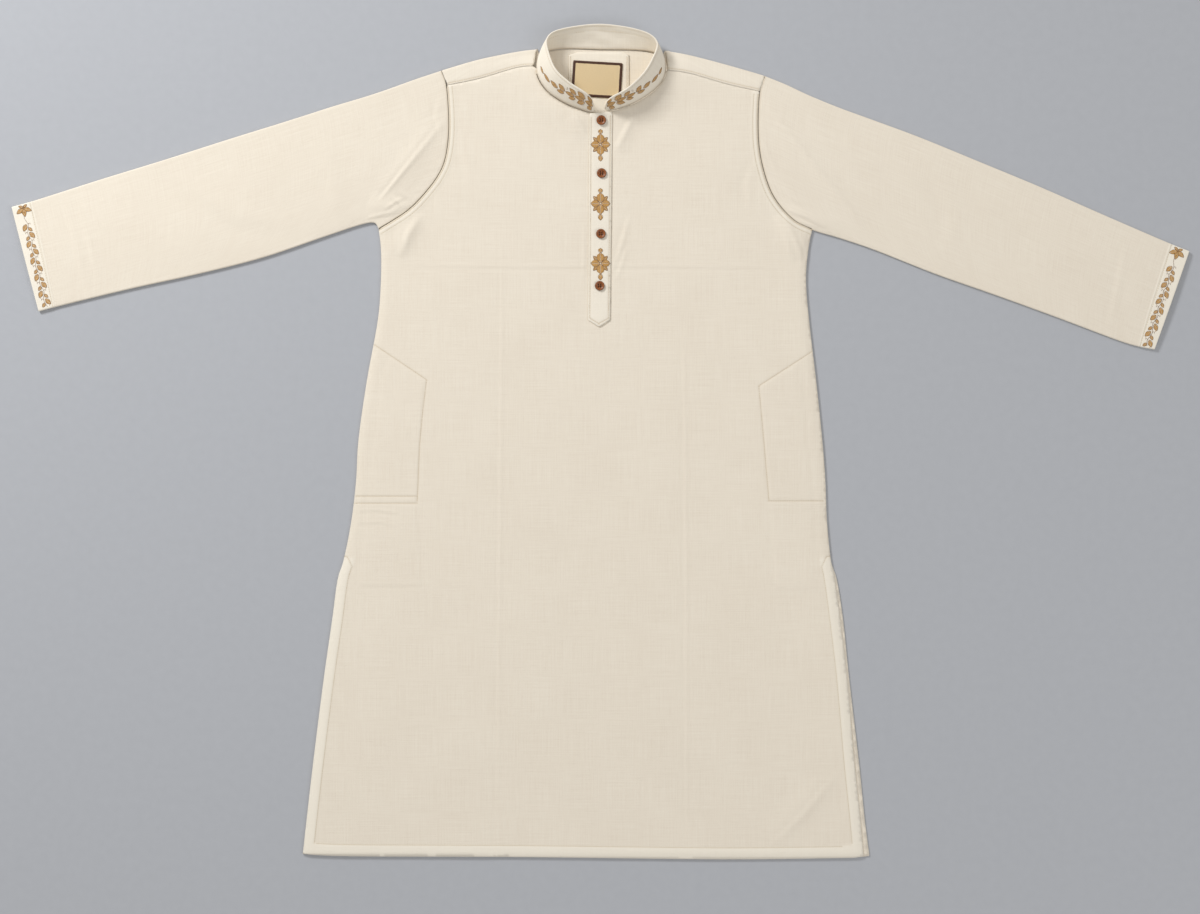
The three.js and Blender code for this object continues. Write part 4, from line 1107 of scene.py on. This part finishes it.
def sleeve_mesh(name, shape):
    """A flattened tube: an outer and an inner skin round both layers, closed at the cuff and armhole."""
    length = np.hypot(*(np.array(shape["fold"][0]) - shape["fold"][-1]))
    cuff_marks = np.r_[0, 0.7, 1.6, 3, np.arange(5, 24, 2.0), 24.3, 25.2, 26, 26.8, 27.7, 29, 31] / length
    body_marks_at = np.linspace(cuff_marks[-1], 1 - 5 / length, SLEEVE_STATIONS)[1:]
    marks = np.r_[cuff_marks, body_marks_at, 1 - np.array([3.6, 2.2, 1.0, 0]) / length]
    width = np.hypot(*(sleeve_plan(shape, marks, np.zeros(len(marks)))
                       - sleeve_plan(shape, marks, np.ones(len(marks)))).T)
    turns = np.linspace(-math.pi / 2, math.pi / 2, FOLD_TURNS + 2)[1:-1]
    unit_top = np.linspace(0, 1, TOP_COLUMNS)
    unit_bottom = np.linspace(1, 0, BOTTOM_COLUMNS)
    skins = {"outer": [], "inner": []}
    flat, double, seam = [], [], []
    for mark, wide in zip(marks, width):
        inset = FOLD_RADIUS / wide
        c_top = inset + unit_top * (1 - 2 * inset)
        c_bottom = inset + unit_bottom * (1 - 2 * inset)
        c = np.r_[c_top, np.full(FOLD_TURNS, 1 - inset), c_bottom, np.full(FOLD_TURNS, inset)]
        base = sleeve_plan(shape, np.full(len(c), mark), c)
        ends = sleeve_plan(shape, np.full(2, mark), np.array([0.0, 1.0]))
        way = (ends[1] - ends[0]) / wide
        angle = np.r_[np.full(TOP_COLUMNS, math.pi / 2), turns[::-1],
                      np.full(BOTTOM_COLUMNS, -math.pi / 2), turns]
        side = np.r_[np.zeros(TOP_COLUMNS), np.ones(FOLD_TURNS), np.zeros(BOTTOM_COLUMNS),
                     -np.ones(FOLD_TURNS)]
        x, y = base.T
        from_cuff, from_arm = mark * length, (1 - mark) * length
        on_top = np.r_[np.ones(TOP_COLUMNS), np.zeros(len(c) - TOP_COLUMNS)]
        on_top = on_top * np.sin(math.pi * np.clip(c, inset, 1 - inset)) ** 0.35
        on_top *= ease(np.minimum(c, 1 - c), inset, inset + 0.04)
        body = on_top * (SLEEVE_CROWN * np.sin(math.pi * c) * ease(from_arm, 0, 45)
                         + soft_folds(x, y, shape["folds"]) * ease(from_arm, 0, 14))
        turned = 1 - ease(from_cuff, CUFF_DEPTH, CUFF_DEPTH + 1.4)
        row = math.exp(-((from_cuff - CUFF_DEPTH + 1.5) / 0.9) ** 2)
        pucker = 0.28 * np.sin(c * wide / 3.1 + 2.2 * np.sin(c * 9))
        pucker = pucker * math.exp(-(from_arm / 11)) * ease(from_arm, 0, 3)
        fine = on_top * (np.clip(creases(x, y, shape["creases"]) * ease(from_arm, 0, 8) + waves(x, y, 0.2),
                                 -0.62, 3)
                         + pucker - 0.5 * math.exp(-(from_arm / 2.2) ** 2))
        fine += (0.42 * turned - 0.4 * row) * np.where(angle < 0, 0.0, 1.0)
        recess = np.where(angle < -1.5, 0.28 * math.exp(-((from_cuff - VINE_AT) / 7.0) ** 4)
                          + 0.25 * row, 0)
        rounding = 0.35 * math.exp(-(from_cuff / 0.6))
        for skin, radius in (("outer", FOLD_RADIUS), ("inner", FOLD_RADIUS - CLOTH)):
            edge = radius - (rounding if skin == "outer" else 0)
            lift = body + (fine if skin == "outer" else 0) + recess
            place = base + np.outer(side * edge * np.cos(angle), way)
            skins[skin].append(np.column_stack((place, FOLD_RADIUS + edge * np.sin(angle) + lift)))
        flat.append(np.column_stack((c * wide, np.full(len(c), from_cuff))))
        double.append(np.full(len(c), 0.95 * turned))
        # The seam value is painted shade in the cuff's stitch groove and where the sleeve meets the body at
        # the armhole.
        join = np.exp(-(from_arm / 1.5) ** 2)
        seam.append(np.clip(np.full(len(c), 0.3 * row + 0.45 * join), 0, 1))
    outer, inner = np.array(skins["outer"]), np.array(skins["inner"])
    rings, around = outer.shape[:2]
    points = np.vstack((outer.reshape(-1, 3), inner.reshape(-1, 3)))
    r, a = np.meshgrid(np.arange(rings - 1), np.arange(around), indexing="ij")
    b = (a + 1) % around
    quads = np.stack((r * around + a, r * around + b, (r + 1) * around + b, (r + 1) * around + a),
                     -1).reshape(-1, 4)
    faces = list(quads) + list(quads[:, ::-1] + rings * around)
    a = np.arange(around)
    b = (a + 1) % around
    for ring in (0, rings - 1):
        start = ring * around
        faces += list(np.column_stack((start + a, start + b, start + b + rings * around,
                                       start + a + rings * around)))
    flat, double, seam = np.vstack(flat), np.concatenate(double), np.concatenate(seam)
    values = {"double": np.r_[double, double], "seam": np.r_[seam, seam]}
    return piece_of(name, points, faces, body_cotton, np.vstack((flat, flat)), values)


def across_cuff(shape, from_end, inset=2.5):
    """A straight run across the cuff, at a distance from its end."""
    length = np.hypot(*(np.array(shape["fold"][0]) - shape["fold"][-1]))
    ends = sleeve_plan(shape, np.full(2, from_end / length), np.array([0.0, 1.0]))
    way = (ends[1] - ends[0]) / np.hypot(*(ends[1] - ends[0]))
    return np.array([ends[0] + way * inset, ends[1] - way * inset])


for seed, (side, shape) in enumerate(SLEEVES.items()):
    sleeve = remember(sleeve_mesh(f"sleeve_cloth_{side}", shape))
    runs = [across_cuff(shape, CUFF_DEPTH - 1.5)]
    sleeve_stitches = sew(f"sleeve_stitches_{side}", rows_on(sleeve.name, runs)
                          + rows_on(sleeve.name, runs, below=True),
                          11 + seed)
    for face, below in (("top", False), ("under", True)):
        low, high = across_cuff(shape, VINE_AT, 1.0)
        reach = np.hypot(*(high - low))
        way = (high - low) / reach
        embroider(
            f"cuff_embroidery_{side}_{face}", vine(reach),
            lambda u, v: laid_on(sleeve.name, low[0] + u * way[0] - v * way[1],
                                 low[1] + u * way[1] + v * way[0], below))
    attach(sleeve, "root")
    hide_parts(f"sleeve_{side}")


# The placket: a pointed strip of pressed, interlined cotton over the slot, stitched along its edges,
# and under it the plain strip that the buttons are sewn to.
# The last colour is the painted shade for the band's seams and stitch grooves.
band_cotton = cotton("band_cotton", srgb(247, 239, 224), srgb(235, 225, 207), srgb(250, 243, 229),
                     srgb(170, 146, 112), 0.6)
PLACKET_LEFT = [(-14, 960.6), (-15, 830), (-16, 695)]
PLACKET_RIGHT = [(15.3, 963.2), (14, 830), (12.5, 695)]
PLACKET_POINT = (-2, 686)
EDGE_STITCH = 2.2


def raised_place(level):
    def place(x, y, out):
        return np.column_stack((x, y, front_height(x, y) + level + CLOTH / 2 + out))
    return place


placket_top = neck_edge[(neck_edge[:, 1] < 975) & (neck_edge[:, 0] > -14) & (neck_edge[:, 0] < 15.3)]
placket_top = placket_top[np.argsort(placket_top[:, 0])]
placket_outline = np.vstack((PLACKET_LEFT[::-1][:1], [PLACKET_POINT], PLACKET_RIGHT[::-1],
                             placket_top[::-1], PLACKET_LEFT[:-1]))
placket_rows = [
    beside(even([(-14, 955), (-15, 830), (-16, 696), (-2.6, 688)], 8.0), EDGE_STITCH),
    beside(even([(15.2, 957), (14, 830), (12.5, 696), (-1.4, 688)], 8.0), -EDGE_STITCH),
]


def placket_relief(x, y):
    plump = 0.32 * np.sin(math.pi * np.clip((x + 15.5) / 30, 0, 1)) + waves(x * 2.1, y * 1.3, 0.14)
    return plump - 0.45 * groove(x, y, placket_rows) + 0.12


def placket_marks(x, y):
    # seam is painted shade in the edge-stitch grooves.
    return {"double": 0.6 + plain(x, y), "seam": 0.35 * groove(x, y, placket_rows)}


placket = remember(cut_cloth("placket_cloth", placket_outline, raised_place(LAYER), placket_relief,
                             placket_marks,
                             band_cotton, rails=placket_rows, step=1.6, under_step=4.0))
placket_stitches = sew("placket_stitches", rows_on("placket_cloth", placket_rows), 17)


def medallion(middle):
    """Four pointed petals and four small leaves round a centre, with a diamond above and one below."""
    rows = [leaf(0, middle + 0.8, 90, 12.5, 9.6), leaf(0, middle - 0.8, -90, 12.5, 9.6),
            leaf(0.8, middle, 0, 11.2, 8.6), leaf(-0.8, middle, 180, 11.2, 8.6)]
    rows += [leaf(3.2 * math.cos(math.radians(a)), middle + 3.2 * math.sin(math.radians(a)), a, 9.4,
                  4.8, 0.2)
             for a in (45, 135, 225, 315)]
    for way, reach in ((1, 5.6), (-1, 7.6)):
        foot = middle + way * 13.6
        rows.append(leaf(0, foot, 90 * way, reach, 5.6))
    return np.vstack(rows)


MEDALLIONS = (921, 845, 768)  # the middle of each, up from the hem
placket_threads = embroider("placket_embroidery", np.vstack([medallion(y) for y in MEDALLIONS]),
                            lambda u, v: laid_on("placket_cloth", u, v))
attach(placket, "root")
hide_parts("placket")

under_outline = np.array([
    (-10.6, SLOT["foot"] + SEAM_GAP), (9.6, SLOT["foot"] + SEAM_GAP), (9.6, 963.0), (6, 962.6), (0, 961.6),
    (-6, 961.2), (-10.6, 961.6)], float)
under = cut_cloth("under_placket_cloth", under_outline, raised_place(0), lambda x, y: plain(x, y) - 0.1,
                  no_marks,
                  body_cotton, step=3.0)
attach(under, "root")
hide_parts("under_placket")


# The collar: a stiff interlined band that stands round the neck, lies back behind and is open in
# front. It is stitched below its top edge and along the seam, and its back is a little crumpled.
BAND_THICKNESS = 2.0
BAND_BULGE = 1.2
COLLAR_STATIONS = 330
COLLAR_LEVELS = 22
band_rows = smooth(BAND, COLLAR_STATIONS)


def band_point(rows, level, out):
    """A spot on the band: level 0 at the seam and 1 at the top edge, out from the band's middle."""
    seam, top = rows[:, :3], rows[:, 3:]
    middle = (seam + top) / 2
    along = np.gradient(middle, axis=0)
    up = top - seam
    inward = np.cross(along, up)
    inward /= np.linalg.norm(inward, axis=1)[:, None]
    size = np.linalg.norm(up, axis=1)
    level = np.broadcast_to(level, size.shape)
    bulge = BAND_BULGE * 4 * level * (1 - level) * np.minimum(1, size / 30)
    return seam + up * level[:, None] - inward * (bulge + out)[:, None], -inward


def collar_mesh():
    size = np.linalg.norm(band_rows[:, 3:] - band_rows[:, :3], axis=1)
    middle = (band_rows[:, :3] + band_rows[:, 3:]) / 2
    arc = np.r_[0, np.cumsum(np.linalg.norm(np.diff(middle, axis=0), axis=1))]
    from_end = np.minimum(arc, arc[-1] - arc)
    half = BAND_THICKNESS / 2 * np.sqrt(1 - (1 - np.clip(from_end / 1.2, 0.12, 1)) ** 2)
    behind = np.exp(-((arc - arc[-1] / 2) / 62) ** 2)
    loops, flat, seam = [], [], []
    levels = np.linspace(0, 1, COLLAR_LEVELS)
    turns = np.linspace(0, math.pi, 9)[1:-1]
    for side in (1, -1):
        for level in levels[:: side]:
            height = level * (size - 1.0) / size
            tall = height * size
            line = size - tall
            fine = -0.35 * np.exp(-((line - 3.0) / 0.8) ** 2) - 0.35 * np.exp(-((tall - 2.6) / 0.8) ** 2)
            if side < 0:
                crumple = behind * (0.9 * np.sin(arc / 9.5 + tall / 5.0) * np.sin(arc / 21 + 1.2)
                                    * math.sin(math.pi * level)
                                    + 0.5 * np.sin(arc / 5.3 - tall / 3.1) * level * (1 - level))
                fine = -0.4 * np.exp(-((line - 9.5) / 1.0) ** 2) * behind + crumple
                fine = fine - 0.25 * np.exp(-((line - 3.0) / 0.8) ** 2)
            else:
                fine = fine + 0.18 * np.sin(arc / 13 + 0.7) * math.sin(math.pi * level)
            loops.append(band_point(band_rows, height, side * (half + np.clip(fine, -0.6, 1.0)))[0])
            flat.append(np.column_stack((arc, tall if side > 0 else 90 - tall)))
            # The seam value is painted shade along the band's join to the body and in its stitch groove.
            seam.append(0.5 * math.exp(-(level * 12) ** 2) + 0.16 * np.exp(-((line - 3.0) / 0.9) ** 2))
        if side > 0:
            for turn in turns:
                height = 1 - (1.0 - half * math.sin(turn)) / size
                loops.append(band_point(band_rows, height, half * math.cos(turn))[0])
                flat.append(np.column_stack((arc, size + turn)))
                seam.append(np.zeros(len(arc)))
    rings = np.array(loops).transpose(1, 0, 2)
    stations, around = rings.shape[:2]
    points = rings.reshape(-1, 3)
    r, a = np.meshgrid(np.arange(stations - 1), np.arange(around), indexing="ij")
    b = (a + 1) % around
    faces = list(np.stack((r * around + a, r * around + b, (r + 1) * around + b, (r + 1) * around + a),
                          -1).reshape(-1, 4))
    for start in (0, (stations - 1) * around):
        pairs = range(around // 2 - 1)
        faces += [(start + i, start + i + 1, start + around - 2 - i, start + around - 1 - i) for i in pairs]
    flat = np.array(flat).transpose(1, 0, 2).reshape(-1, 2)
    seam = np.array([np.broadcast_to(s, (stations,)) for s in seam]).T.ravel()
    return piece_of("collar_cloth", points, faces, band_cotton, flat,
                    {"double": np.full_like(seam, 0.5), "seam": seam})


collar = remember(collar_mesh())


def band_path(below_top=None, above_seam=None, inner=False, trim=6, out=1.0):
    """A stitch row on the band, at a distance from its top edge or its seam."""
    rows = band_rows[trim:-trim]
    size = np.linalg.norm(rows[:, 3:] - rows[:, :3], axis=1)
    level = (size - below_top) / size if below_top is not None else above_seam / size
    points, normals = band_point(rows, level, np.full(len(rows), -out if inner else out))
    return row_frame(points), normals * (-1 if inner else 1)


collar_stitches = sew("collar_stitches", [
    band_path(below_top=3.0, out=0.75), band_path(above_seam=2.6, out=0.75),
    band_path(below_top=3.0, inner=True, out=0.8), band_path(below_top=9.5, inner=True, trim=70, out=0.75)],
    23, 0.45)


def front_of_band(right):
    """Maps millimetres from the band's front end, and off its middle line, to its outer face."""
    rows = band_rows[::-1] if right else band_rows
    middle = (rows[:, :3] + rows[:, 3:]) / 2
    reach = np.r_[0, np.cumsum(np.linalg.norm(np.diff(middle, axis=0), axis=1))]
    size = np.linalg.norm(rows[:, 3:] - rows[:, :3], axis=1)

    def spot(u, v):
        level = np.clip(0.5 + v / np.interp(u, reach, size), 0.06, 0.9)
        x, y = (np.interp(u, reach, rows[:, k]) * (1 - level) + np.interp(u, reach, rows[:, k + 3]) * level
                for k in (0, 1))
        return laid_on("collar_cloth", x, y)
    return spot


band_strokes = np.vstack([
    leaf(6, 0, 0, 13, 8), leaf(9, 4, 50, 11, 6.5), leaf(9, -4, -50, 9, 6), leaf(20, 3, 35, 13, 8),
    leaf(20, -3, -35, 11, 7), leaf(21, 0, 0, 13, 6.5), leaf(33, 3, 30, 11, 6.5), leaf(33, -4, -25, 9, 5.5),
    leaf(35, -1, 0, 12, 5.5), leaf(49, -2, 30, 11, 6.5), leaf(49, -5, -12, 10, 5), leaf(59, -4, 8, 12, 5.5),
    leaf(72, -6, 2, 13, 3.8), leaf(86, -7, 0, 10, 2.6), curl(47, 5, 2.2, 90, 250)])
collar_threads = [embroider(f"collar_embroidery_{side}", band_strokes, front_of_band(side == "right"))
                  for side in ("left", "right")]
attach(collar, "root")
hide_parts("collar_band")


# The neck patch and the label: a square of self cloth stitched inside the back of the neck, and on it
# a woven satin label, beige with a dark brown border, left bare.
PATCH = {"left": -41, "right": 37, "top": 1041, "foot": 958}
patch_outline = np.array([(PATCH["left"], PATCH["foot"]), (PATCH["right"], PATCH["foot"]),
                          (PATCH["right"], 1037), (28, PATCH["top"]), (-28, PATCH["top"]),
                          (PATCH["left"], 1037)], float)
patch_rows = [np.array([(x, 962), (x, 1034)], float) for x in (-38.5, 34.5)]


def patch_relief(x, y):
    return waves(x * 2, y * 2, 0.12) - 0.35 * groove(x, y, patch_rows) - 0.05


# The patch's seam value is painted shade in its stitch grooves.
patch = remember(cut_cloth("patch_cloth", patch_outline, level_place(LAYER), patch_relief,
                           lambda x, y: {"double": 0.4 + plain(x, y),
                                         "seam": 0.4 * groove(x, y, patch_rows)},
                           body_cotton, rails=patch_rows, step=2.0))
patch_stitches = sew("patch_stitches", rows_on("patch_cloth", patch_rows), 29)
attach(patch, "root")
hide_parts("label_patch")

LABEL = {"x": -4.5, "y": 1005, "width": 64, "height": 46, "tilt": -0.058, "border": 3.4}
label_cloth, graph, shader = finish_named("label_cloth", Roughness=0.6, Sheen_Weight=0.25)
weave = graph.node("ShaderNodeUVMap", {"uv_map": "weave"})
border = graph.node("ShaderNodeAttribute", {"attribute_name": "border"}, output="Fac")
weft = graph.noise(weave, (500.0, 4200.0, 1.0), 2.0)
ground = graph.mix(weft, srgb(206, 178, 132), srgb(232, 212, 172))
edge_colour = graph.mix(weft, srgb(48, 24, 8), srgb(84, 46, 20))
graph.feed(shader.inputs["Base Color"], graph.mix(graph.ramp(border, 0.45, 0.55), ground, edge_colour))
graph.feed(shader.inputs["Normal"],
           graph.node("ShaderNodeBump", {}, {"Strength": 0.4, "Distance": 0.0002, "Height": weft}))
spin = np.array([(math.cos(LABEL["tilt"]), -math.sin(LABEL["tilt"])),
                 (math.sin(LABEL["tilt"]), math.cos(LABEL["tilt"]))])
label_outline = np.array([(-1, -1), (1, -1), (1, 1), (-1, 1)]) * (LABEL["width"] / 2, LABEL["height"] / 2)
border_rails = [np.array([(-1, s), (1, s)]) * (LABEL["width"] / 2 - 2,
                                               LABEL["height"] / 2 - LABEL["border"]) for s in (-1, 1)]
border_rails += [np.array([(s, -1), (s, 1)]) * (LABEL["width"] / 2 - LABEL["border"],
                                                LABEL["height"] / 2 - 2) for s in (-1, 1)]


def in_border(x, y):
    from_edge = np.minimum(LABEL["width"] / 2 - np.abs(x), LABEL["height"] / 2 - np.abs(y))
    return 1 - ease(from_edge, LABEL["border"] - 0.4, LABEL["border"] + 0.4)


def label_place(x, y, out):
    spots = np.column_stack((x, y)) @ spin.T + (LABEL["x"], LABEL["y"])
    return np.column_stack((spots, 2 * LAYER + CLOTH / 2 + out))


label = cut_cloth("label_cloth", label_outline, label_place, lambda x, y: 0.22 * in_border(x, y)
                  + waves(x * 3, y * 3, 0.08),
                  lambda x, y: {"border": in_border(x, y)}, label_cloth, rails=border_rails, step=0.9,
                  under_step=3.0)
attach(label, "root")
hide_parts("label")


# The buttons: turned brown wood with a raised rim and a dished middle, four holes each, sewn on with
# dark thread in two bars.
BUTTON_RADIUS = 6.2
BUTTON_THICKNESS = 2.4
HOLE_RADIUS = 0.85
HOLE_OFFSET = 1.35
BUTTON_SPOKES = 96
BUTTON_PROFILE = np.array([(0, 0.56), (0.5, 0.56), (0.56, 0.60), (0.64, 0.80), (0.72, 0.93), (0.83, 1.0),
                           (0.93, 0.92),
                           (0.985, 0.74), (1.0, 0.52), (0.985, 0.32), (0.93, 0.14), (0.72, 0.0), (0, 0)])
BUTTONS = [(1, 952), (1.5, 884), (0.5, 806), (-1, 739)]
button_wood, graph, shader = finish_named("button_wood", Coat_Roughness=0.25, Specular_IOR_Level=0.5)
place = graph.node("ShaderNodeTexCoord", output=3)
rings = graph.noise(place, (3000.0, 420.0, 900.0), 4.0)
# The rim attribute carries painted shade in the dented holes and in the groove round the dished face, and
# also darkens the outer edge.
rim = graph.node("ShaderNodeAttribute", {"attribute_name": "rim"}, output="Fac")
wood = graph.mix(graph.ramp(rings, 0.3, 0.7), srgb(118, 62, 26), srgb(172, 104, 54))
graph.feed(shader.inputs["Base Color"], graph.mix(rim, wood, srgb(62, 30, 12)))
graph.feed(shader.inputs["Roughness"], rings * 0.2 + 0.32)
graph.feed(shader.inputs["Coat Weight"], graph.ramp(rings, 0.2, 0.8) * 0.25)
graph.feed(shader.inputs["Normal"],
           graph.node("ShaderNodeBump", {}, {"Strength": 0.3, "Distance": 0.0001, "Height": rings}))
button_thread, graph, shader = finish_named("button_thread", Roughness=0.6)
twist = graph.noise(graph.node("ShaderNodeTexCoord", output=3), (6000.0, 6000.0, 6000.0), 1.0)
graph.feed(shader.inputs["Base Color"], graph.mix(twist, srgb(44, 22, 10), srgb(96, 58, 30)))


def tilted(points, spot, node):
    """Puts a button's own shape on the placket, leaning as the cloth does there."""
    x, y = spot
    higher, lower = front_height(np.array([x, x]), np.array([y + BUTTON_RADIUS, y - BUTTON_RADIUS]))
    lean = math.atan2(higher - lower, 2 * BUTTON_RADIUS)
    foot = (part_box(node)[0].z - cad_box[0].z) / MM + BUTTON_RADIUS * abs(math.sin(lean))
    px, py, pz = points.T
    return np.column_stack((x + px, y + py * math.cos(lean) - pz * math.sin(lean),
                            foot + py * math.sin(lean) + pz * math.cos(lean)))


def button_mesh(name, spot, node):
    marks = np.r_[np.linspace(0, 4, 22), np.linspace(4, 8, 12)[1:], np.linspace(8, 11, 9)[1:], 12]
    radius, height = (np.interp(marks, np.arange(len(BUTTON_PROFILE)), column)
                      for column in BUTTON_PROFILE.T)
    face = marks <= 4
    radius[face] = np.linspace(0, 0.72, face.sum())
    height[face] = np.interp(radius[face], BUTTON_PROFILE[:5, 0], BUTTON_PROFILE[:5, 1])
    angle = np.arange(BUTTON_SPOKES) * 2 * math.pi / BUTTON_SPOKES
    ring_r, ring_h = radius[1:-1] * BUTTON_RADIUS, height[1:-1] * BUTTON_THICKNESS
    x, y = np.outer(ring_r, np.cos(angle)), np.outer(ring_r, np.sin(angle))
    z = np.repeat(ring_h[:, None], BUTTON_SPOKES, 1)
    hole = np.hypot(np.abs(x) - HOLE_OFFSET, np.abs(y) - HOLE_OFFSET)
    on_face = np.repeat((marks[1:-1] <= 4)[:, None], BUTTON_SPOKES, 1)
    z = z - on_face * 1.0 * (1 - ease(hole, HOLE_RADIUS * 0.7, HOLE_RADIUS * 1.15))
    z += on_face * 0.05 * np.sin(np.hypot(x, y) * 4.2)
    points = np.vstack(([(0, 0, height[0] * BUTTON_THICKNESS)],
                        np.column_stack((x.ravel(), y.ravel(), z.ravel())), [(0, 0, 0)]))
    rings, n = len(ring_r), BUTTON_SPOKES
    faces = [(0, 1 + i, 1 + (i + 1) % n) for i in range(n)]
    faces += [(1 + r * n + i, 1 + (r + 1) * n + i, 1 + (r + 1) * n + (i + 1) % n, 1 + r * n + (i + 1) % n)
              for r in range(rings - 1) for i in range(n)]
    last = 1 + (rings - 1) * n
    faces += [(last + n, last + (i + 1) % n, last + i) for i in range(n)]
    # Painted shade: dark in the dented holes and in the groove at the edge of the dished face, and darker
    # towards the outer edge.
    dark = np.maximum(on_face * (1 - ease(hole, HOLE_RADIUS * 0.7, HOLE_RADIUS * 1.4)),
                      ease(np.hypot(x, y) / BUTTON_RADIUS, 0.86, 0.97) * 0.75)
    dark = np.maximum(dark, np.exp(-((np.hypot(x, y) / BUTTON_RADIUS - 0.56) / 0.05) ** 2) * 0.7)
    return piece_of(name, tilted(points, spot, node), faces, button_wood, None,
                    {"rim": np.r_[0, dark.ravel(), 0.5]})


for number, spot in enumerate(BUTTONS, 1):
    node = f"button_{number}"
    button = button_mesh(f"wood_button_{number}", spot, node)
    strands = []
    for bar in (-1, 1):
        for shift in (-0.28, 0.28):
            t = np.linspace(0, 1, 9)
            arch = 0.56 * BUTTON_THICKNESS + 0.34 * np.sin(math.pi * t) ** 0.6
            arch = arch - 0.35 * (np.abs(2 * t - 1) > 0.95)
            strands.append(np.column_stack((np.full(9, bar * HOLE_OFFSET + shift),
                                            (2 * t - 1) * HOLE_OFFSET, arch)))
    curve = bpy.data.curves.new(f"sewn_{number}", "CURVE")
    curve.dimensions = "3D"
    curve.bevel_depth = 0.3 * MM
    curve.bevel_resolution = 2
    curve.use_fill_caps = True
    for strand in strands:
        line = curve.splines.new("POLY")
        line.points.add(len(strand) - 1)
        for point, place in zip(line.points, row_frame(tilted(strand, spot, node))):
            point.co = (*place, 1)
    holder = bpy.data.objects.new(f"sewn_{number}", curve)
    bpy.context.collection.objects.link(holder)
    thread_mesh = bpy.data.meshes.new_from_object(holder.evaluated_get(bpy.context.evaluated_depsgraph_get()))
    bpy.data.objects.remove(holder)
    thread_mesh.materials.clear()
    thread_mesh.materials.append(button_thread)
    thread_piece = bpy.data.objects.new(f"button_thread_{number}", thread_mesh)
    bpy.context.collection.objects.link(thread_piece)
    for piece, slot in ((button, "button_wood"), (thread_piece, "thread")):
        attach(piece, "root")
    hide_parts(node)
